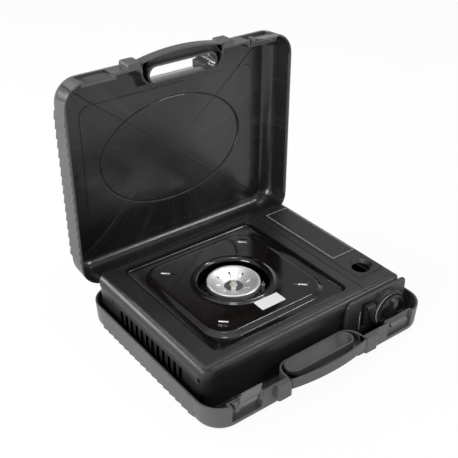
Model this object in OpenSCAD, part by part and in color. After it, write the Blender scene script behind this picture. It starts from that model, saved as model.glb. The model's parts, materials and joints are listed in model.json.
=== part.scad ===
// Butane cassette stove in its carrying case, with the lid open.
// Millimetres. +X is the stove's right, +Y its back and +Z up. The origin lies on the underside of
// the case tray, 2 mm to the right of the stove's middle.

/* [Stove body] */
// Width of the stove body, left to right
stove_w = 349; // [335:1:360]
// Depth of the stove body, front to back
stove_d = 264; // [258:1:280]
// Height of the stove's top above the tray floor
stove_h = 73; // [73:0.5:78]
// Thickness of the sheet steel
sheet = 1; // [0.8:0.1:1.2]
// Radius of the rolled front and back edges of the top
edge_r = 9; // [6:0.5:10]
// Radius of the rolled left edge of the top
left_edge_r = 14; // [11:0.5:14]
// Radius of the rolled right edge of the cartridge cover
cover_edge_r = 16; // [12:0.5:17]
// Radius of the top's corners, seen from above
top_corner_r = 18; // [14.5:0.5:20]
// Straight part of the top's skirt, below the rolled edge
skirt_drop = 1.5; // [1:0.5:3]
// Width of the cartridge cover
cover_w = 71; // [69:0.5:76]
// How far the front panel lies behind the front edge of the top
panel_inset = 4; // [3:0.5:5]
// Height of the feet
foot_h = 3; // [2:0.5:4]
// Radius of the feet
foot_r = 9; // [7:0.5:12]
// Air gap between lapped sheets and loose pieces
lap_gap = 0.4; // [0.3:0.1:0.5]

/* [Pan support and burner] */
// Distance of the burner's centre to the left of the origin
burner_left = 28; // [24:1:32]
// Distance of the burner's centre behind the origin
burner_back = 2; // [-2:1:4]
// Side of the square pan support
pan_side = 221; // [212:1:222]
// Play round the pan support in the top's opening
pan_play = 3; // [2:0.5:4]
// Thickness of the enamelled pan support
pan_t = 1.2; // [1:0.1:1.6]
// Depth of the pan support's rim below the stove's top
pan_drop = 6.2; // [5:0.2:8]
// Height of the pan support's raised middle above its rim
pan_rise = 4.5; // [3:0.5:5]
// Half the side of the raised middle
pan_mid = 92; // [88:1:94]
// Radius of the hole in the pan support
pan_hole_r = 49.5; // [47:0.5:52]
// Width of the round bead along the hole
bead_w = 10.5; // [8:0.5:12]
// Height of the bead above the raised middle
bead_h = 2.2; // [1.5:0.1:2.5]
// Height of the prongs
prong_h = 20; // [14:1:22]
// Thickness of the prongs
prong_t = 3; // [2:0.5:4]
// Radius of the burner cap
cap_r = 38; // [36:0.5:39]
// Depth of the dished burner cap
cap_dish = 10; // [8:0.5:11]
// Number of flame ports
port_count = 8; // [6:1:12]
// Radius of a flame port
port_r = 1.5; // [1.2:0.1:2]
// Outer radius of the mixing tube
tube_r = 7.5; // [6.5:0.5:8]
// Wall of the mixing tube
tube_wall = 1.2; // [0.8:0.1:1.5]

/* [Controls] */
// Distance of the knob's axis from the stove's right side
knob_in = 36.5; // [35:0.5:38]
// Height of the knob's axis above the tray floor
knob_up = 34; // [33:0.5:36]
// Radius of the knob
knob_r = 23.5; // [20:0.5:24]
// Number of flutes round the knob
flute_count = 44; // [36:2:56]
// Outer radius of the dial ring
dial_r = 27.5; // [26:0.5:28]
// How far the control panel stands out from the front edge of the top
panel_proud = 4.5; // [4:0.5:5]
// How far the knob stands out from the dial
knob_proud = 12; // [9:0.5:13]
// Radius of the valve spindle
spindle_r = 3; // [2.5:0.25:3.5]
// Running gap of pins and shafts in their bores
run_gap = 0.05; // [0.03:0.01:0.08]
// Travel of the lock lever, downwards
lever_travel = 24; // [18:1:24]
// Travel of the cartridge claw, forwards
claw_travel = 8; // [5:0.5:8]
// Radius of the cover's hinge pins
cover_pin_r = 1.8; // [1.4:0.1:2]

/* [Case] */
// Wall of the moulded case
case_wall = 2.8; // [2.4:0.1:3.2]
// Floor of the tray
case_floor = 3; // [2.6:0.1:3.5]
// Height of the tray
tray_h = 38; // [37:0.5:40]
// Room between the closed lid and the highest point of the stove
headroom = 6; // [5:0.5:8]
// Radius of the case's corners, seen from above
case_corner_r = 36; // [34:1:42]
// Radius of the edge round the tray's floor
tray_fillet = 10; // [6:1:12]
// Radius of the edge round the lid's face
lid_fillet = 22; // [18:1:24]
// Draft of the case's walls, in degrees
draft = 3; // [2:0.5:4]
// Room to the left of the stove
room_left = 8.2; // [7:0.5:12]
// Room to the right of the stove
room_right = 16.2; // [14:0.5:20]
// Room in front of the stove
room_front = 32.7; // [32.5:0.5:38]
// Room behind the stove
room_back = 7.7; // [7:0.5:12]
// Gap between the closed halves
parting_gap = 0.4; // [0.3:0.1:0.8]
// Pitch of the ribs along the sides
rib_pitch = 14; // [10:1:18]
// How far the ribs stand out
rib_proud = 1.6; // [1:0.1:2]
// Half width of the oval pressed into the lid
oval_a = 123; // [100:1:130]
// Half height of the oval pressed into the lid
oval_b = 82; // [70:1:90]

/* [Case fittings] */
// Offset of the handle to the left of the origin
handle_left = 4; // [2:1:8]
// Length of the hand hole
hand_len = 109; // [95:1:112]
// Width of the hand hole
hand_w = 22; // [20:0.5:23]
// Height of each half of the handle
handle_h = 15; // [13:0.5:17]
// How far the handle bows out in the middle
handle_bow = 10; // [6:0.5:12]
// Distance of each latch from the origin, along X
latch_x = 134.5; // [132:0.5:136]
// Width of a latch flap
latch_w = 31; // [26:1:32]
// Reach of a latch flap past the parting line
latch_reach = 24; // [20:0.5:25]
// How far an unhooked latch leans out, in degrees
latch_lean = 15; // [13:1:18]
// Radius of the latch pins
latch_pin_r = 1.2; // [1:0.1:1.4]
// Radius of the case's hinge pins
hinge_pin_r = 1.5; // [1.2:0.1:1.8]
// Distance of each case hinge from the middle of the case
hinge_x = 118; // [100:2:126]

/* [Hidden] */
$fn = 64;
eps = 0.01;

// Stove levels and faces
top_z = case_floor + stove_h;
under_top = top_z - sheet;
skirt_h = left_edge_r + skirt_drop;
mid_off = 2;
left_x = -stove_w / 2 - mid_off;
right_x = stove_w / 2 - mid_off;
front_y = -stove_d / 2;
back_y = stove_d / 2;
seam_x = right_x - cover_w - lap_gap;
pan_z = case_floor + foot_h;
pan_top = pan_z + sheet;
shell_left = left_x + sheet + lap_gap;
shell_right = right_x - sheet - lap_gap;
shell_front = front_y + panel_inset;
shell_back = back_y - sheet - lap_gap;
shell_r = top_corner_r - sheet - lap_gap;
wall_top = top_z - left_edge_r + 1.5;

// Burner and pan support
burner = [-burner_left, burner_back];
opening = pan_side + 2 * pan_play;
opening_r = 12;
plate_z = top_z - pan_drop;
mid_z = plate_z + pan_rise;
pan_slope = 6;
bead_top = mid_z + pan_t + bead_h;
well_half = opening / 2 + sheet;
well_inner = pan_side / 2 - 6.5;
well_floor = plate_z - prong_h - 4;
cap_z = top_z - 2;
flame_z = cap_z - cap_dish;
hub_r = 13.5;
tube_z = well_floor - tube_r - 2;

// Partition, valve and mechanism
part_x = burner.x + well_half + sheet + 0.6;
knob_x = right_x - knob_in;
knob_z = case_floor + knob_up;
can_z = pan_top + 33.4;
lever_x = part_x + sheet + 2;
lever_t = 2;
pin_r = 2;
pin_y = shell_front + 16;
pin_z = top_z - 32;
arm_x = lever_x + lever_t + 3;
claw_y = shell_front + 38;
pipe_y = shell_front + 25.5;
pipe_r = 2.5;
bracket_y = shell_front + 7;
bracket_t = 1.5;
valve_y = bracket_y + bracket_t;
valve_depth = 20;
valve_x0 = knob_x - 16;
valve_x1 = knob_x + 16;
lead_r = 1.1;
lead_y = shell_front + 19;
lead_z = pan_top + 5;
electrode_r = 3;
electrode_off = [cos(-20) * 44, sin(-20) * 44];
electrode_at = burner + electrode_off;
panel_y = front_y - panel_proud;
dial_y = panel_y - 7;
panel_x0 = knob_x - 76;
panel_x1 = right_x + 2;
panel_z0 = pan_z + 2;
panel_z1 = top_z - 3.5;
notch = [19, 10];

// Cover hinge
hinge_in = 5.5;
cover_axis = [right_x - hinge_in, top_z - 24];
cover_skirt_z = cover_axis.y - 1;
right_wall_z = cover_axis.y - 6.5;
lug_ys = [front_y + 22, back_y - 28];
lug_t = 3;
ear_t = 2.5;
label_x0 = seam_x + 12;
label_x1 = right_x - 11;
finger_y = front_y + 50;

// Case faces
lid_h = bead_top + headroom + case_wall - tray_h - parting_gap;
case_x0 = left_x - room_left - case_wall;
case_x1 = right_x + room_right + case_wall;
case_y0 = front_y - room_front - case_wall;
case_y1 = back_y + room_back + case_wall;
case_mid = [(case_x0 + case_x1) / 2, (case_y0 + case_y1) / 2];
axis_off = 4;
knuckle_r = 3.6;
knuckle_w = 12;
knuckle_gap = 0.4;
field_t = 1.2;
field_r = 16;
field_size = [case_x1 - case_x0 - 82, case_y1 - case_y0 - 84];
field_y = case_mid.y + 12;
hinge_axis = [case_y1 + axis_off, tray_h + parting_gap / 2];

// Latches; heights are above the half's own parting face
catch_in = 5;
latch_in = 8;
pocket_w = 46;
pocket_h = 26;
latch_t = 2.4;
barrel_r = 3.2;
latch_axis = [case_y0 - 0.1, 3.5];
hook_low = 13.4;
hook_in = 2.4;
ledge_out = 4.3;
thumb_h = 7;
lug_w = 4;

// Handle
handle_mid = -handle_left;
hand_y = case_y0 + 15.5;
bay_half = hand_len / 2 + 10.5;
bay_back = hand_y + hand_w / 2;
bay_r = 18;
bow_y = case_y0 - 13.5;
bow_half = bay_half + 13.5;
bow_r = (bow_half * bow_half + handle_bow * handle_bow) / (2 * handle_bow);

// Mixing tube
elbow_r = 20;
elbow_x = burner.x + 98;
elbow_turn = atan2(burner.y - pipe_y, elbow_x - burner.x);
elbow_len = elbow_r * tan(elbow_turn / 2);
inlet_x = part_x - 3;

// Prongs, louvres and shell
slot_d = 97;
tab = [13, 2.4];
tab_turn = -45;
louvre_count = 12;
louvre_pitch = 13;
louvre_w = 6.5;
louvre_y0 = burner.y - 86;
louvre_low = pan_z + 20;
louvre_high = top_z - 26;
shell_mid = [(shell_left + shell_right) / 2, (shell_front + shell_back) / 2];
shell_size = [shell_right - shell_left, shell_back - shell_front];

function ellipse_points(a, b, n) = [for (i = [0:n - 1]) [a * cos(360 * i / n), b * sin(360 * i / n)]];
function arc_points(centre, r, from, to, n) = [
    for (i = [0:n]) let (a = from + (to - from) * i / n) centre + r * [cos(a), sin(a)]
];
function flute_points(r, depth, n) = [
    for (i = [0:4 * n - 1]) let (s = i % 4 < 2 ? r : r - depth) [s * cos(90 * i / n), s * sin(90 * i / n)]
];

// General shapes

// Block between two opposite corners
module block(low, high) {
    translate(low) cube(high - low);
}

// Rounded rectangle, centred
module round_rect(size, r) {
    square([size.x - 2 * r, size.y], center = true);
    square([size.x, size.y - 2 * r], center = true);
    for (sx = [-1, 1], sy = [-1, 1])
        translate([sx * (size.x / 2 - r), sy * (size.y / 2 - r)]) circle(r);
}

// Cylinder along X from x0 to x1, about (y, z)
module rod_x(x0, x1, y, z, r) {
    translate([x0, y, z]) rotate([0, 90, 0]) cylinder(h = x1 - x0, r = r);
}

// Cylinder along Y from y0 to y1, about (x, z)
module rod_y(x, z, y0, y1, r) {
    translate([x, y1, z]) rotate([90, 0, 0]) cylinder(h = y1 - y0, r = r);
}

// Straight rod between two points
module rod(a, b, r) {
    d = b - a;
    translate(a) rotate([0, acos(d.z / norm(d)), atan2(d.y, d.x)]) cylinder(h = norm(d), r = r);
}

// Sweeps a wall section round a rounded rectangle. The section's x is the distance outside the
// rectangle's edge and its y is the height.
module sweep_wall(x0, x1, y0, y1, r) {
    corners = [
        [x1 - r, y1 - r, 0], [x0 + r, y1 - r, 90], [x0 + r, y0 + r, 180], [x1 - r, y0 + r, 270]
    ];
    sides = [
        [x1, y1 - r, 0, y1 - y0 - 2 * r], [x0 + r, y1, 90, x1 - x0 - 2 * r],
        [x0, y0 + r, 180, y1 - y0 - 2 * r], [x1 - r, y0, 270, x1 - x0 - 2 * r]
    ];
    for (c = corners)
        translate([c.x, c.y, 0]) rotate([0, 0, c.z])
            rotate_extrude(angle = 90) translate([r, 0]) children();
    for (s = sides)
        translate([s[0], s[1], 0]) rotate([0, 0, s[2]]) rotate([90, 0, 0])
            linear_extrude(s[3]) children();
}

// Upright section from a to b and from z0 to z1, its upper corners rounded by ra and rb
module crown_section(a, b, z0, z1, ra, rb) {
    translate([a, z0]) square([ra + eps, z1 - z0 - ra]);
    translate([b - rb - eps, z0]) square([rb + eps, z1 - z0 - rb]);
    translate([a + ra, z0]) square([b - a - ra - rb, z1 - z0]);
    translate([a + ra, z1 - ra]) circle(ra);
    translate([b - rb, z1 - rb]) circle(rb);
}

// Section of a crown from the corners' axis outwards, its upper edge rolled with radius r
module crown_edge(z0, z1, corner_r, r) {
    polygon(concat([[-corner_r, z0], [0, z0]], arc_points([-r, z1 - r], r, 0, 90, 12),
        [[-corner_r, z1]]));
}

// Stove-sized solid with rolled upper edges; inset shrinks it on every side but the bottom
module crown_solid(z0, inset) {
    a = left_x + inset;
    b = right_x - inset;
    c = front_y + inset;
    d = back_y - inset;
    z1 = top_z - inset;
    corner_r = top_corner_r - inset;
    intersection() {
        union() {
            sweep_wall(a, b, c, d, corner_r) crown_edge(z0, z1, corner_r, edge_r - inset);
            block([a + corner_r, c + corner_r, z0], [b - corner_r, d - corner_r, z1]);
        }
        translate([0, d, 0]) rotate([90, 0, 0]) linear_extrude(d - c)
            crown_section(a, b, z0, z1, left_edge_r - inset, cover_edge_r - inset);
    }
}

// Case halves

// Section of a case half from its parting face down: depth h, draft and a round lower edge
module half_section(h, r, inset, floor_t) {
    cz = floor_t + r;
    cx = -inset + (-r + sin(draft) * (cz - h)) / cos(draft);
    polygon(concat([[-case_corner_r, h], [-case_corner_r, floor_t]],
        arc_points([cx, cz], r, -90, -draft, 12), [[-inset, h]]));
}

// Filled outside of a half
module half_solid(h, r) {
    sweep_wall(case_x0, case_x1, case_y0, case_y1, case_corner_r) half_section(h, r, 0, 0);
    block([case_x0 + case_corner_r, case_y0 + case_corner_r, 0],
        [case_x1 - case_corner_r, case_y1 - case_corner_r, h]);
}

// Walls and floor of a half
module half_shell(h, r, floor_t) {
    sweep_wall(case_x0, case_x1, case_y0, case_y1, case_corner_r)
        difference() {
            half_section(h, r, 0, 0);
            translate([-eps, 0]) half_section(h + eps, r - case_wall, case_wall, floor_t);
        }
    block([case_x0 + case_corner_r, case_y0 + case_corner_r, 0],
        [case_x1 - case_corner_r, case_y1 - case_corner_r, floor_t]);
}

// Row of sawtooth ribs on a right-hand wall at x = 0, between two heights
module rib_row(h, low, high) {
    run = case_y1 - case_y0 - 2 * case_corner_r - rib_pitch;
    root = 0.2 - case_wall;
    for (i = [0:floor(run / rib_pitch) - 1])
        translate([0, case_y0 + case_corner_r + (i + 0.5) * rib_pitch, h]) rotate([0, draft, 0])
            translate([0, 0, low - h]) linear_extrude(high - low)
                polygon([[root, 0], [0, 0], [rib_proud, rib_pitch * 0.82], [0, rib_pitch - 0.4],
                    [root, rib_pitch - 0.4]]);
}

module side_ribs(h, low, high) {
    translate([case_x1, 0, 0]) rib_row(h, low, high);
    translate([case_x0, 0, 0]) mirror([1, 0, 0]) rib_row(h, low, high);
}

// Outline of the hand hole, grown by a wall
module hand_hole(grow) {
    translate([handle_mid, hand_y])
        round_rect([hand_len + 2 * grow, hand_w + 2 * grow], hand_w / 2 + grow - eps);
}

// Outline of the bowed handle, shrunk by inset
module bow(inset) {
    intersection() {
        translate([handle_mid, bow_y + bow_r]) circle(bow_r - inset, $fn = 256);
        bay_outline(0);
    }
}

// Outline of the space round the handle, with round inner corners, grown by a wall
module bay_outline(grow) {
    half = bay_half - bay_r;
    depth = bay_back - bay_r - bow_y + 1;
    translate([handle_mid, bow_y - 1]) {
        translate([-bay_half - grow, 0]) square([2 * (bay_half + grow), depth]);
        translate([-half, 0]) square([2 * half, depth + bay_r + grow]);
        for (side = [-1, 1]) translate([side * half, depth]) circle(bay_r + grow);
    }
}

// Handle half: a channel open to the parting face, the wall of the hand hole and two end posts
module handle(h) {
    translate([0, 0, h - handle_h]) {
        linear_extrude(case_wall) difference() {
            bow(0);
            hand_hole(0);
        }
        linear_extrude(handle_h) {
            difference() {
                bow(0);
                bow(case_wall);
            }
            difference() {
                hand_hole(case_wall);
                hand_hole(0);
            }
        }
    }
    for (side = [-1, 1])
        translate([handle_mid + side * (bay_half + 11), case_y0 - 2.5, h - 24])
            linear_extrude(24) round_rect([22, 10], 3);
}

// Space that the handle takes out of a half
module handle_bay(h) {
    translate([0, 0, -1]) linear_extrude(h + 2) bay_outline(0);
}

// Wall round the handle bay, inside the half
module bay_walls(h) {
    linear_extrude(h) difference() {
        bay_outline(case_wall);
        bay_outline(0);
    }
}

// Finger scoop behind the lid's handle: (distance behind the bay's back, height) of its slope
function scoop_line(h) = [[0, h - handle_h], [6.5, 9.5], [14.5, 2], [17, -1]];

module scoop_block(h, half, reach) {
    translate([handle_mid - half, bay_back, 0]) rotate([90, 0, 90]) linear_extrude(2 * half)
        polygon(concat([[-1, -1], [-1, h - handle_h]],
            [for (p = scoop_line(h)) p + reach * [1, p.x > 10 ? 1 : 0.5]]));
}

module scoop_cut(h) {
    scoop_block(h, bay_half - bay_r, 0);
}

module scoop_wall(h) {
    difference() {
        scoop_block(h, bay_half - bay_r + case_wall, case_wall);
        scoop_cut(h);
        handle_bay(h);
    }
}

// Pocket for a latch or a catch, of a depth
module pocket_cut(h, x, depth) {
    block([x - pocket_w / 2, case_y0 - 1, h - pocket_h],
        [x + pocket_w / 2, case_y0 + depth, h + 1]);
}

// Walls round a pocket, inside the half
module pocket_wall(h, x, depth) {
    w = pocket_w / 2;
    y = case_y0 + depth;
    low = h - pocket_h - case_wall;
    block([x - w - case_wall, y, low], [x + w + case_wall, y + case_wall, h]);
    block([x - w - case_wall, case_y0 + case_wall / 2, low], [x - w, y + eps, h]);
    block([x + w, case_y0 + case_wall / 2, low], [x + w + case_wall, y + eps, h]);
    block([x - w - eps, case_y0 + case_wall, low], [x + w + eps, y + eps, h - pocket_h]);
}

// Lugs that carry a latch's pin
module latch_lugs(h, x) {
    y = case_y0 + latch_in;
    for (side = [-1, 1]) {
        x0 = x + side * (latch_w / 2 + lap_gap + lug_w / 2) - lug_w / 2;
        difference() {
            union() {
                rod_x(x0, x0 + lug_w, latch_axis.x, h + latch_axis.y, barrel_r);
                block([x0, latch_axis.x - barrel_r, h - 8],
                    [x0 + lug_w, latch_axis.x + barrel_r, h + latch_axis.y]);
                block([x0, latch_axis.x, h - 8], [x0 + lug_w, y + 1, h]);
            }
            rod_x(x0 - 1, x0 + lug_w + 1, latch_axis.x, h + latch_axis.y, latch_pin_r);
        }
    }
}

// Ledge that the other half's latch hooks over
module catch_ledge(h, x) {
    y = case_y0 + catch_in;
    low = h - hook_low + parting_gap + lap_gap;
    translate([x - latch_w / 2, 0, 0]) rotate([90, 0, 90]) linear_extrude(latch_w)
        polygon([[y + 1, low], [y - ledge_out, low], [y - ledge_out, low + 1.6], [y + 1, low + 6]]);
}

// A half with its handle, pockets, lugs and ledge. Its latch is on the side of the sign and its
// catch on the other.
module half_body(h, r, floor_t, sign) {
    difference() {
        half_shell(h, r, floor_t);
        handle_bay(h);
        pocket_cut(h, sign * latch_x, latch_in);
        pocket_cut(h, -sign * latch_x, catch_in);
    }
    intersection() {
        union() {
            bay_walls(h);
            pocket_wall(h, sign * latch_x, latch_in);
            pocket_wall(h, -sign * latch_x, catch_in);
        }
        half_solid(h, r);
    }
    handle(h);
    latch_lugs(h, sign * latch_x);
    catch_ledge(h, -sign * latch_x);
}

// Hinge knuckle of the tray
module tray_knuckle(x) {
    x0 = x - knuckle_w / 2;
    difference() {
        union() {
            rod_x(x0, x0 + knuckle_w, hinge_axis.x, hinge_axis.y, knuckle_r);
            block([x0, case_y1 - 1.5, tray_h - 8], [x0 + knuckle_w, hinge_axis.x, tray_h]);
            block([x0, hinge_axis.x - eps, tray_h - 8],
                [x0 + knuckle_w, hinge_axis.x + knuckle_r, hinge_axis.y]);
        }
        rod_x(x0 - 1, x0 + knuckle_w + 1, hinge_axis.x, hinge_axis.y, hinge_pin_r);
    }
}

// Hinge knuckle of the lid, drawn for the closed lid
module lid_knuckle(x) {
    x0 = x - knuckle_w / 2;
    z0 = tray_h + parting_gap;
    difference() {
        union() {
            rod_x(x0, x0 + knuckle_w, hinge_axis.x, hinge_axis.y, knuckle_r);
            block([x0, case_y1 - 1.5, z0], [x0 + knuckle_w, hinge_axis.x, z0 + 6]);
            block([x0, hinge_axis.x - eps, hinge_axis.y],
                [x0 + knuckle_w, hinge_axis.x + knuckle_r, z0 + 6]);
        }
        rod_x(x0 - 1, x0 + knuckle_w + 1, hinge_axis.x, hinge_axis.y, hinge_pin_r + run_gap);
    }
}

// Block that the open lid's back wall comes down on
module lid_stop(x) {
    block([x - 9, case_y1 - 2, tray_h - 14], [x + 9, hinge_axis.x + 10, tray_h - 0.6]);
    block([x - 9, hinge_axis.x + 1.5, tray_h - 1],
        [x + 9, hinge_axis.x + 10, hinge_axis.y + axis_off - 0.3]);
}

// Tray: floor, drafted walls, handle half, hinge knuckles, lid stops and pads under the stove
module case_tray() {
    color("#2b2c2e") {
        half_body(tray_h, tray_fillet, case_floor, -1);
        side_ribs(tray_h, tray_fillet - 5, tray_h - 1.2);
        for (side = [-1, 1]) {
            hx = case_mid.x + side * hinge_x;
            for (k = [-1, 1]) tray_knuckle(hx + k * (knuckle_w + knuckle_gap));
            lid_stop(hx - side * 42);
            for (y = [front_y + 26, back_y - 26])
                block([side * (right_x - 4) - 3, y - 14, case_floor - eps],
                    [side * (right_x - 4) + 3, y + 14, case_floor + foot_h - 1]);
        }
    }
}

// Puts what is drawn for the closed lid where the open lid is
module open_lid() {
    translate([0, hinge_axis.x, hinge_axis.y]) rotate([-90, 0, 0])
        translate([0, -hinge_axis.x, -hinge_axis.y]) children();
}

// Turns a half drawn like the tray upside down onto the parting line
module as_lid() {
    translate([0, 0, tray_h + parting_gap + lid_h]) mirror([0, 0, 1]) children();
}

// Lid: like the tray, with a deep rounded edge, a scoop behind its handle and, inside, a raised
// field with an oval pressed into it
module case_lid() {
    color("#262729") open_lid() {
        as_lid() {
            difference() {
                half_body(lid_h, lid_fillet, case_wall, 1);
                scoop_cut(lid_h);
            }
            intersection() {
                scoop_wall(lid_h);
                half_solid(lid_h, lid_fillet);
            }
            translate([case_mid.x, field_y, case_wall - eps]) linear_extrude(field_t) difference() {
                round_rect(field_size, field_r);
                translate([0, case_mid.y - field_y]) polygon(ellipse_points(oval_a, oval_b, 96));
            }
            side_ribs(lid_h, lid_fillet - 9, lid_h - 1.2);
            for (x = [-oval_a - 35, oval_a + 34])
                translate([case_mid.x + x, case_mid.y, case_wall - eps]) cylinder(h = 2, r = 4);
        }
        for (side = [-1, 1]) lid_knuckle(case_mid.x + side * hinge_x);
    }
}

module case_hinge_pins() {
    reach = 1.5 * knuckle_w + knuckle_gap;
    color("silver") for (side = [-1, 1]) {
        x = case_mid.x + side * hinge_x;
        rod_x(x - reach, x + reach, hinge_axis.x, hinge_axis.y, hinge_pin_r);
    }
}

// Latch flap over a half whose parting face is at height 0, leaning out as it hangs unhooked
module latch_flap(x) {
    y1 = latch_axis.x - 0.3;
    y0 = y1 - latch_t;
    tip = latch_axis.x + hook_in;
    translate([0, latch_axis.x, latch_axis.y]) rotate([latch_lean, 0, 0])
        translate([0, -latch_axis.x, -latch_axis.y]) difference() {
            union() {
                rod_x(x - latch_w / 2, x + latch_w / 2, latch_axis.x, latch_axis.y, barrel_r - 0.2);
                translate([x - latch_w / 2, 0, 0]) rotate([90, 0, 90]) linear_extrude(latch_w)
                    polygon([[y0, -thumb_h], [y1, -thumb_h], [y1, hook_low], [tip, hook_low],
                        [tip, hook_low + 1], [y1, hook_low + 4], [y1, latch_reach],
                        [y0 + 0.8, latch_reach]]);
            }
            rod_x(x - latch_w / 2 - 1, x + latch_w / 2 + 1, latch_axis.x, latch_axis.y,
                latch_pin_r + run_gap);
        }
}

module latch_pin(x) {
    reach = latch_w / 2 + lap_gap + lug_w;
    rod_x(x - reach, x + reach, latch_axis.x, latch_axis.y, latch_pin_r);
}

// Puts what is drawn over a parting face at height 0 onto the lid's own
module on_lid() {
    open_lid() translate([0, 0, tray_h + parting_gap]) mirror([0, 0, 1]) children();
}

module tray_latch() {
    color("#333436") translate([0, 0, tray_h]) latch_flap(-latch_x);
}

module tray_latch_pin() {
    color("silver") translate([0, 0, tray_h]) latch_pin(-latch_x);
}

module lid_latch() {
    color("#333436") on_lid() latch_flap(latch_x);
}

module lid_latch_pin() {
    color("silver") on_lid() latch_pin(latch_x);
}

// Stove body

// Bottom sheet with an upturned edge and pressed beads
module base_pan() {
    color("#3a3b3d") {
        translate([shell_mid.x, shell_mid.y, pan_z]) {
            linear_extrude(sheet) round_rect(shell_size, shell_r);
            linear_extrude(8) difference() {
                round_rect(shell_size - [2, 2] * sheet, shell_r - sheet);
                round_rect(shell_size - [4, 4] * sheet, shell_r - 2 * sheet);
            }
        }
        for (y = [-60, 0, 60])
            block([burner.x - 80, y - 4, pan_top - eps], [burner.x + 80, y + 4, pan_top + 1.5]);
    }
}

module rubber_feet() {
    color("#1c1c1c") for (x = [left_x + 22, right_x - 22], y = [front_y + 26, back_y - 26])
        translate([x, y, case_floor]) cylinder(h = foot_h, r1 = foot_r - 1, r2 = foot_r);
}

// Slot for the lock lever through the front, wider than the lever by gap on each side
module lever_slot(gap) {
    block([lever_x - gap, panel_y - 1, pin_z - 22],
        [lever_x + lever_t + gap, shell_front + 2, pin_z + 18]);
}

// Wrap-around wall with louvres on the left; its right side is cut down for the cartridge cover
module body_shell() {
    color("#1f2021") {
        difference() {
            translate([shell_mid.x, shell_mid.y, pan_top]) linear_extrude(wall_top - pan_top)
                difference() {
                    round_rect(shell_size, shell_r);
                    round_rect(shell_size - [2, 2] * sheet, shell_r - sheet);
                }
            for (i = [0:louvre_count - 1])
                block([shell_left - 1, louvre_y0 + i * louvre_pitch, louvre_low],
                    [shell_left + 2, louvre_y0 + i * louvre_pitch + louvre_w, louvre_high]);
            block([right_x - 12.5, front_y - 1, right_wall_z], [right_x + 1, back_y + 1, top_z]);
            lever_slot(0.5);
            rod_y(knob_x, knob_z, front_y - 1, shell_front + 5, spindle_r + 2);
            for (i = [0:6])
                block([burner.x - 60 + i * 20, shell_back - 2, pan_top + 23],
                    [burner.x - 48 + i * 20, shell_back + 1, pan_top + 27]);
        }
        for (y = lug_ys) cover_lug(y);
    }
}

// Lug that carries one of the cover's hinge pins
module cover_lug(y) {
    y0 = y - lug_t / 2;
    y1 = y + lug_t / 2;
    difference() {
        union() {
            rod_y(cover_axis.x, cover_axis.y, y0, y1, 3.6);
            block([cover_axis.x - 3.6, y0, right_wall_z - 10], [cover_axis.x + 1.5, y1, cover_axis.y]);
            block([cover_axis.x, y0, right_wall_z - 10], [shell_right - sheet / 2, y1, right_wall_z]);
        }
        rod_y(cover_axis.x, cover_axis.y, y0 - 1, y1 + 1, cover_pin_r);
    }
}

module shell_screws() {
    color("silver") {
        for (y = [front_y + 14, back_y - 45])
            rod_x(shell_left - 1.6, shell_left, y, top_z - 24, 3);
        for (x = [left_x + 30, right_x - 90])
            rod_y(x, pan_z + 12, shell_back, shell_back + 1.6, 3);
    }
}

// Wall between the burner and the cartridge bay, with flanges above and below
module partition_plate() {
    y0 = shell_front + 2 * sheet;
    y1 = shell_back - 2 * sheet;
    color("#4a4c4e") difference() {
        union() {
            block([part_x, y0, pan_top], [part_x + sheet, y1, top_z - edge_r]);
            block([part_x, front_y + edge_r, pan_top], [part_x + sheet, back_y - edge_r, under_top]);
            block([part_x, front_y + edge_r, under_top - sheet],
                [seam_x - 1, back_y - edge_r, under_top]);
            block([part_x, y0, pan_top], [part_x + 6, y1, pan_top + sheet]);
        }
        rod_x(part_x - 1, part_x + 3, pipe_y, tube_z, pipe_r + 1);
        rod_x(part_x - 1, part_x + 3, lead_y, lead_z, lead_r + 1);
        block([lever_x - 1, y0 - 1, pan_top + 2 * sheet], [seam_x, pin_y + 14, top_z]);
        for (y = [-30:40:90])
            block([part_x - 1, y, top_z - 24], [part_x + 2, y + 22, top_z - 18]);
    }
}

// Pressed top: rolled edges and a square opening with a turned-down lip
module top_plate() {
    low = top_z - skirt_h;
    color("#1b1c1d") {
        difference() {
            intersection() {
                difference() {
                    crown_solid(low, 0);
                    crown_solid(low - 1, sheet);
                }
                block([left_x - 1, front_y - 1, 0], [seam_x, back_y + 1, top_z + 1]);
            }
            translate([burner.x, burner.y, top_z - 3]) linear_extrude(4)
                round_rect([opening, opening], opening_r);
        }
        translate([burner.x, burner.y, plate_z]) linear_extrude(pan_drop) difference() {
            round_rect([2 * well_half, 2 * well_half], opening_r + sheet);
            round_rect([opening, opening], opening_r);
        }
        for (y = [front_y + 12.5, back_y - 6 - edge_r / 2])
            block([left_x + 30, y - 1, top_z - eps], [seam_x - 10, y + 1, top_z + 0.4]);
    }
}

// Square sheet dish under the pan support, with a round hole for the burner
module burner_well() {
    side = 2 * well_inner;
    color("#2a2b2c") translate([burner.x, burner.y, 0]) {
        translate([0, 0, plate_z - sheet]) linear_extrude(sheet) difference() {
            round_rect([2 * well_half, 2 * well_half], opening_r + sheet);
            round_rect([side, side], 14);
        }
        translate([0, 0, well_floor]) linear_extrude(plate_z - well_floor - sheet / 2) difference() {
            round_rect([side + 2 * sheet, side + 2 * sheet], 14 + sheet);
            round_rect([side, side], 14);
        }
        translate([0, 0, well_floor]) linear_extrude(sheet) difference() {
            round_rect([side + sheet, side + sheet], 14);
            circle(cap_r + 0.5);
            translate(electrode_off) circle(electrode_r + lap_gap);
        }
    }
}

// Pan support

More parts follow.
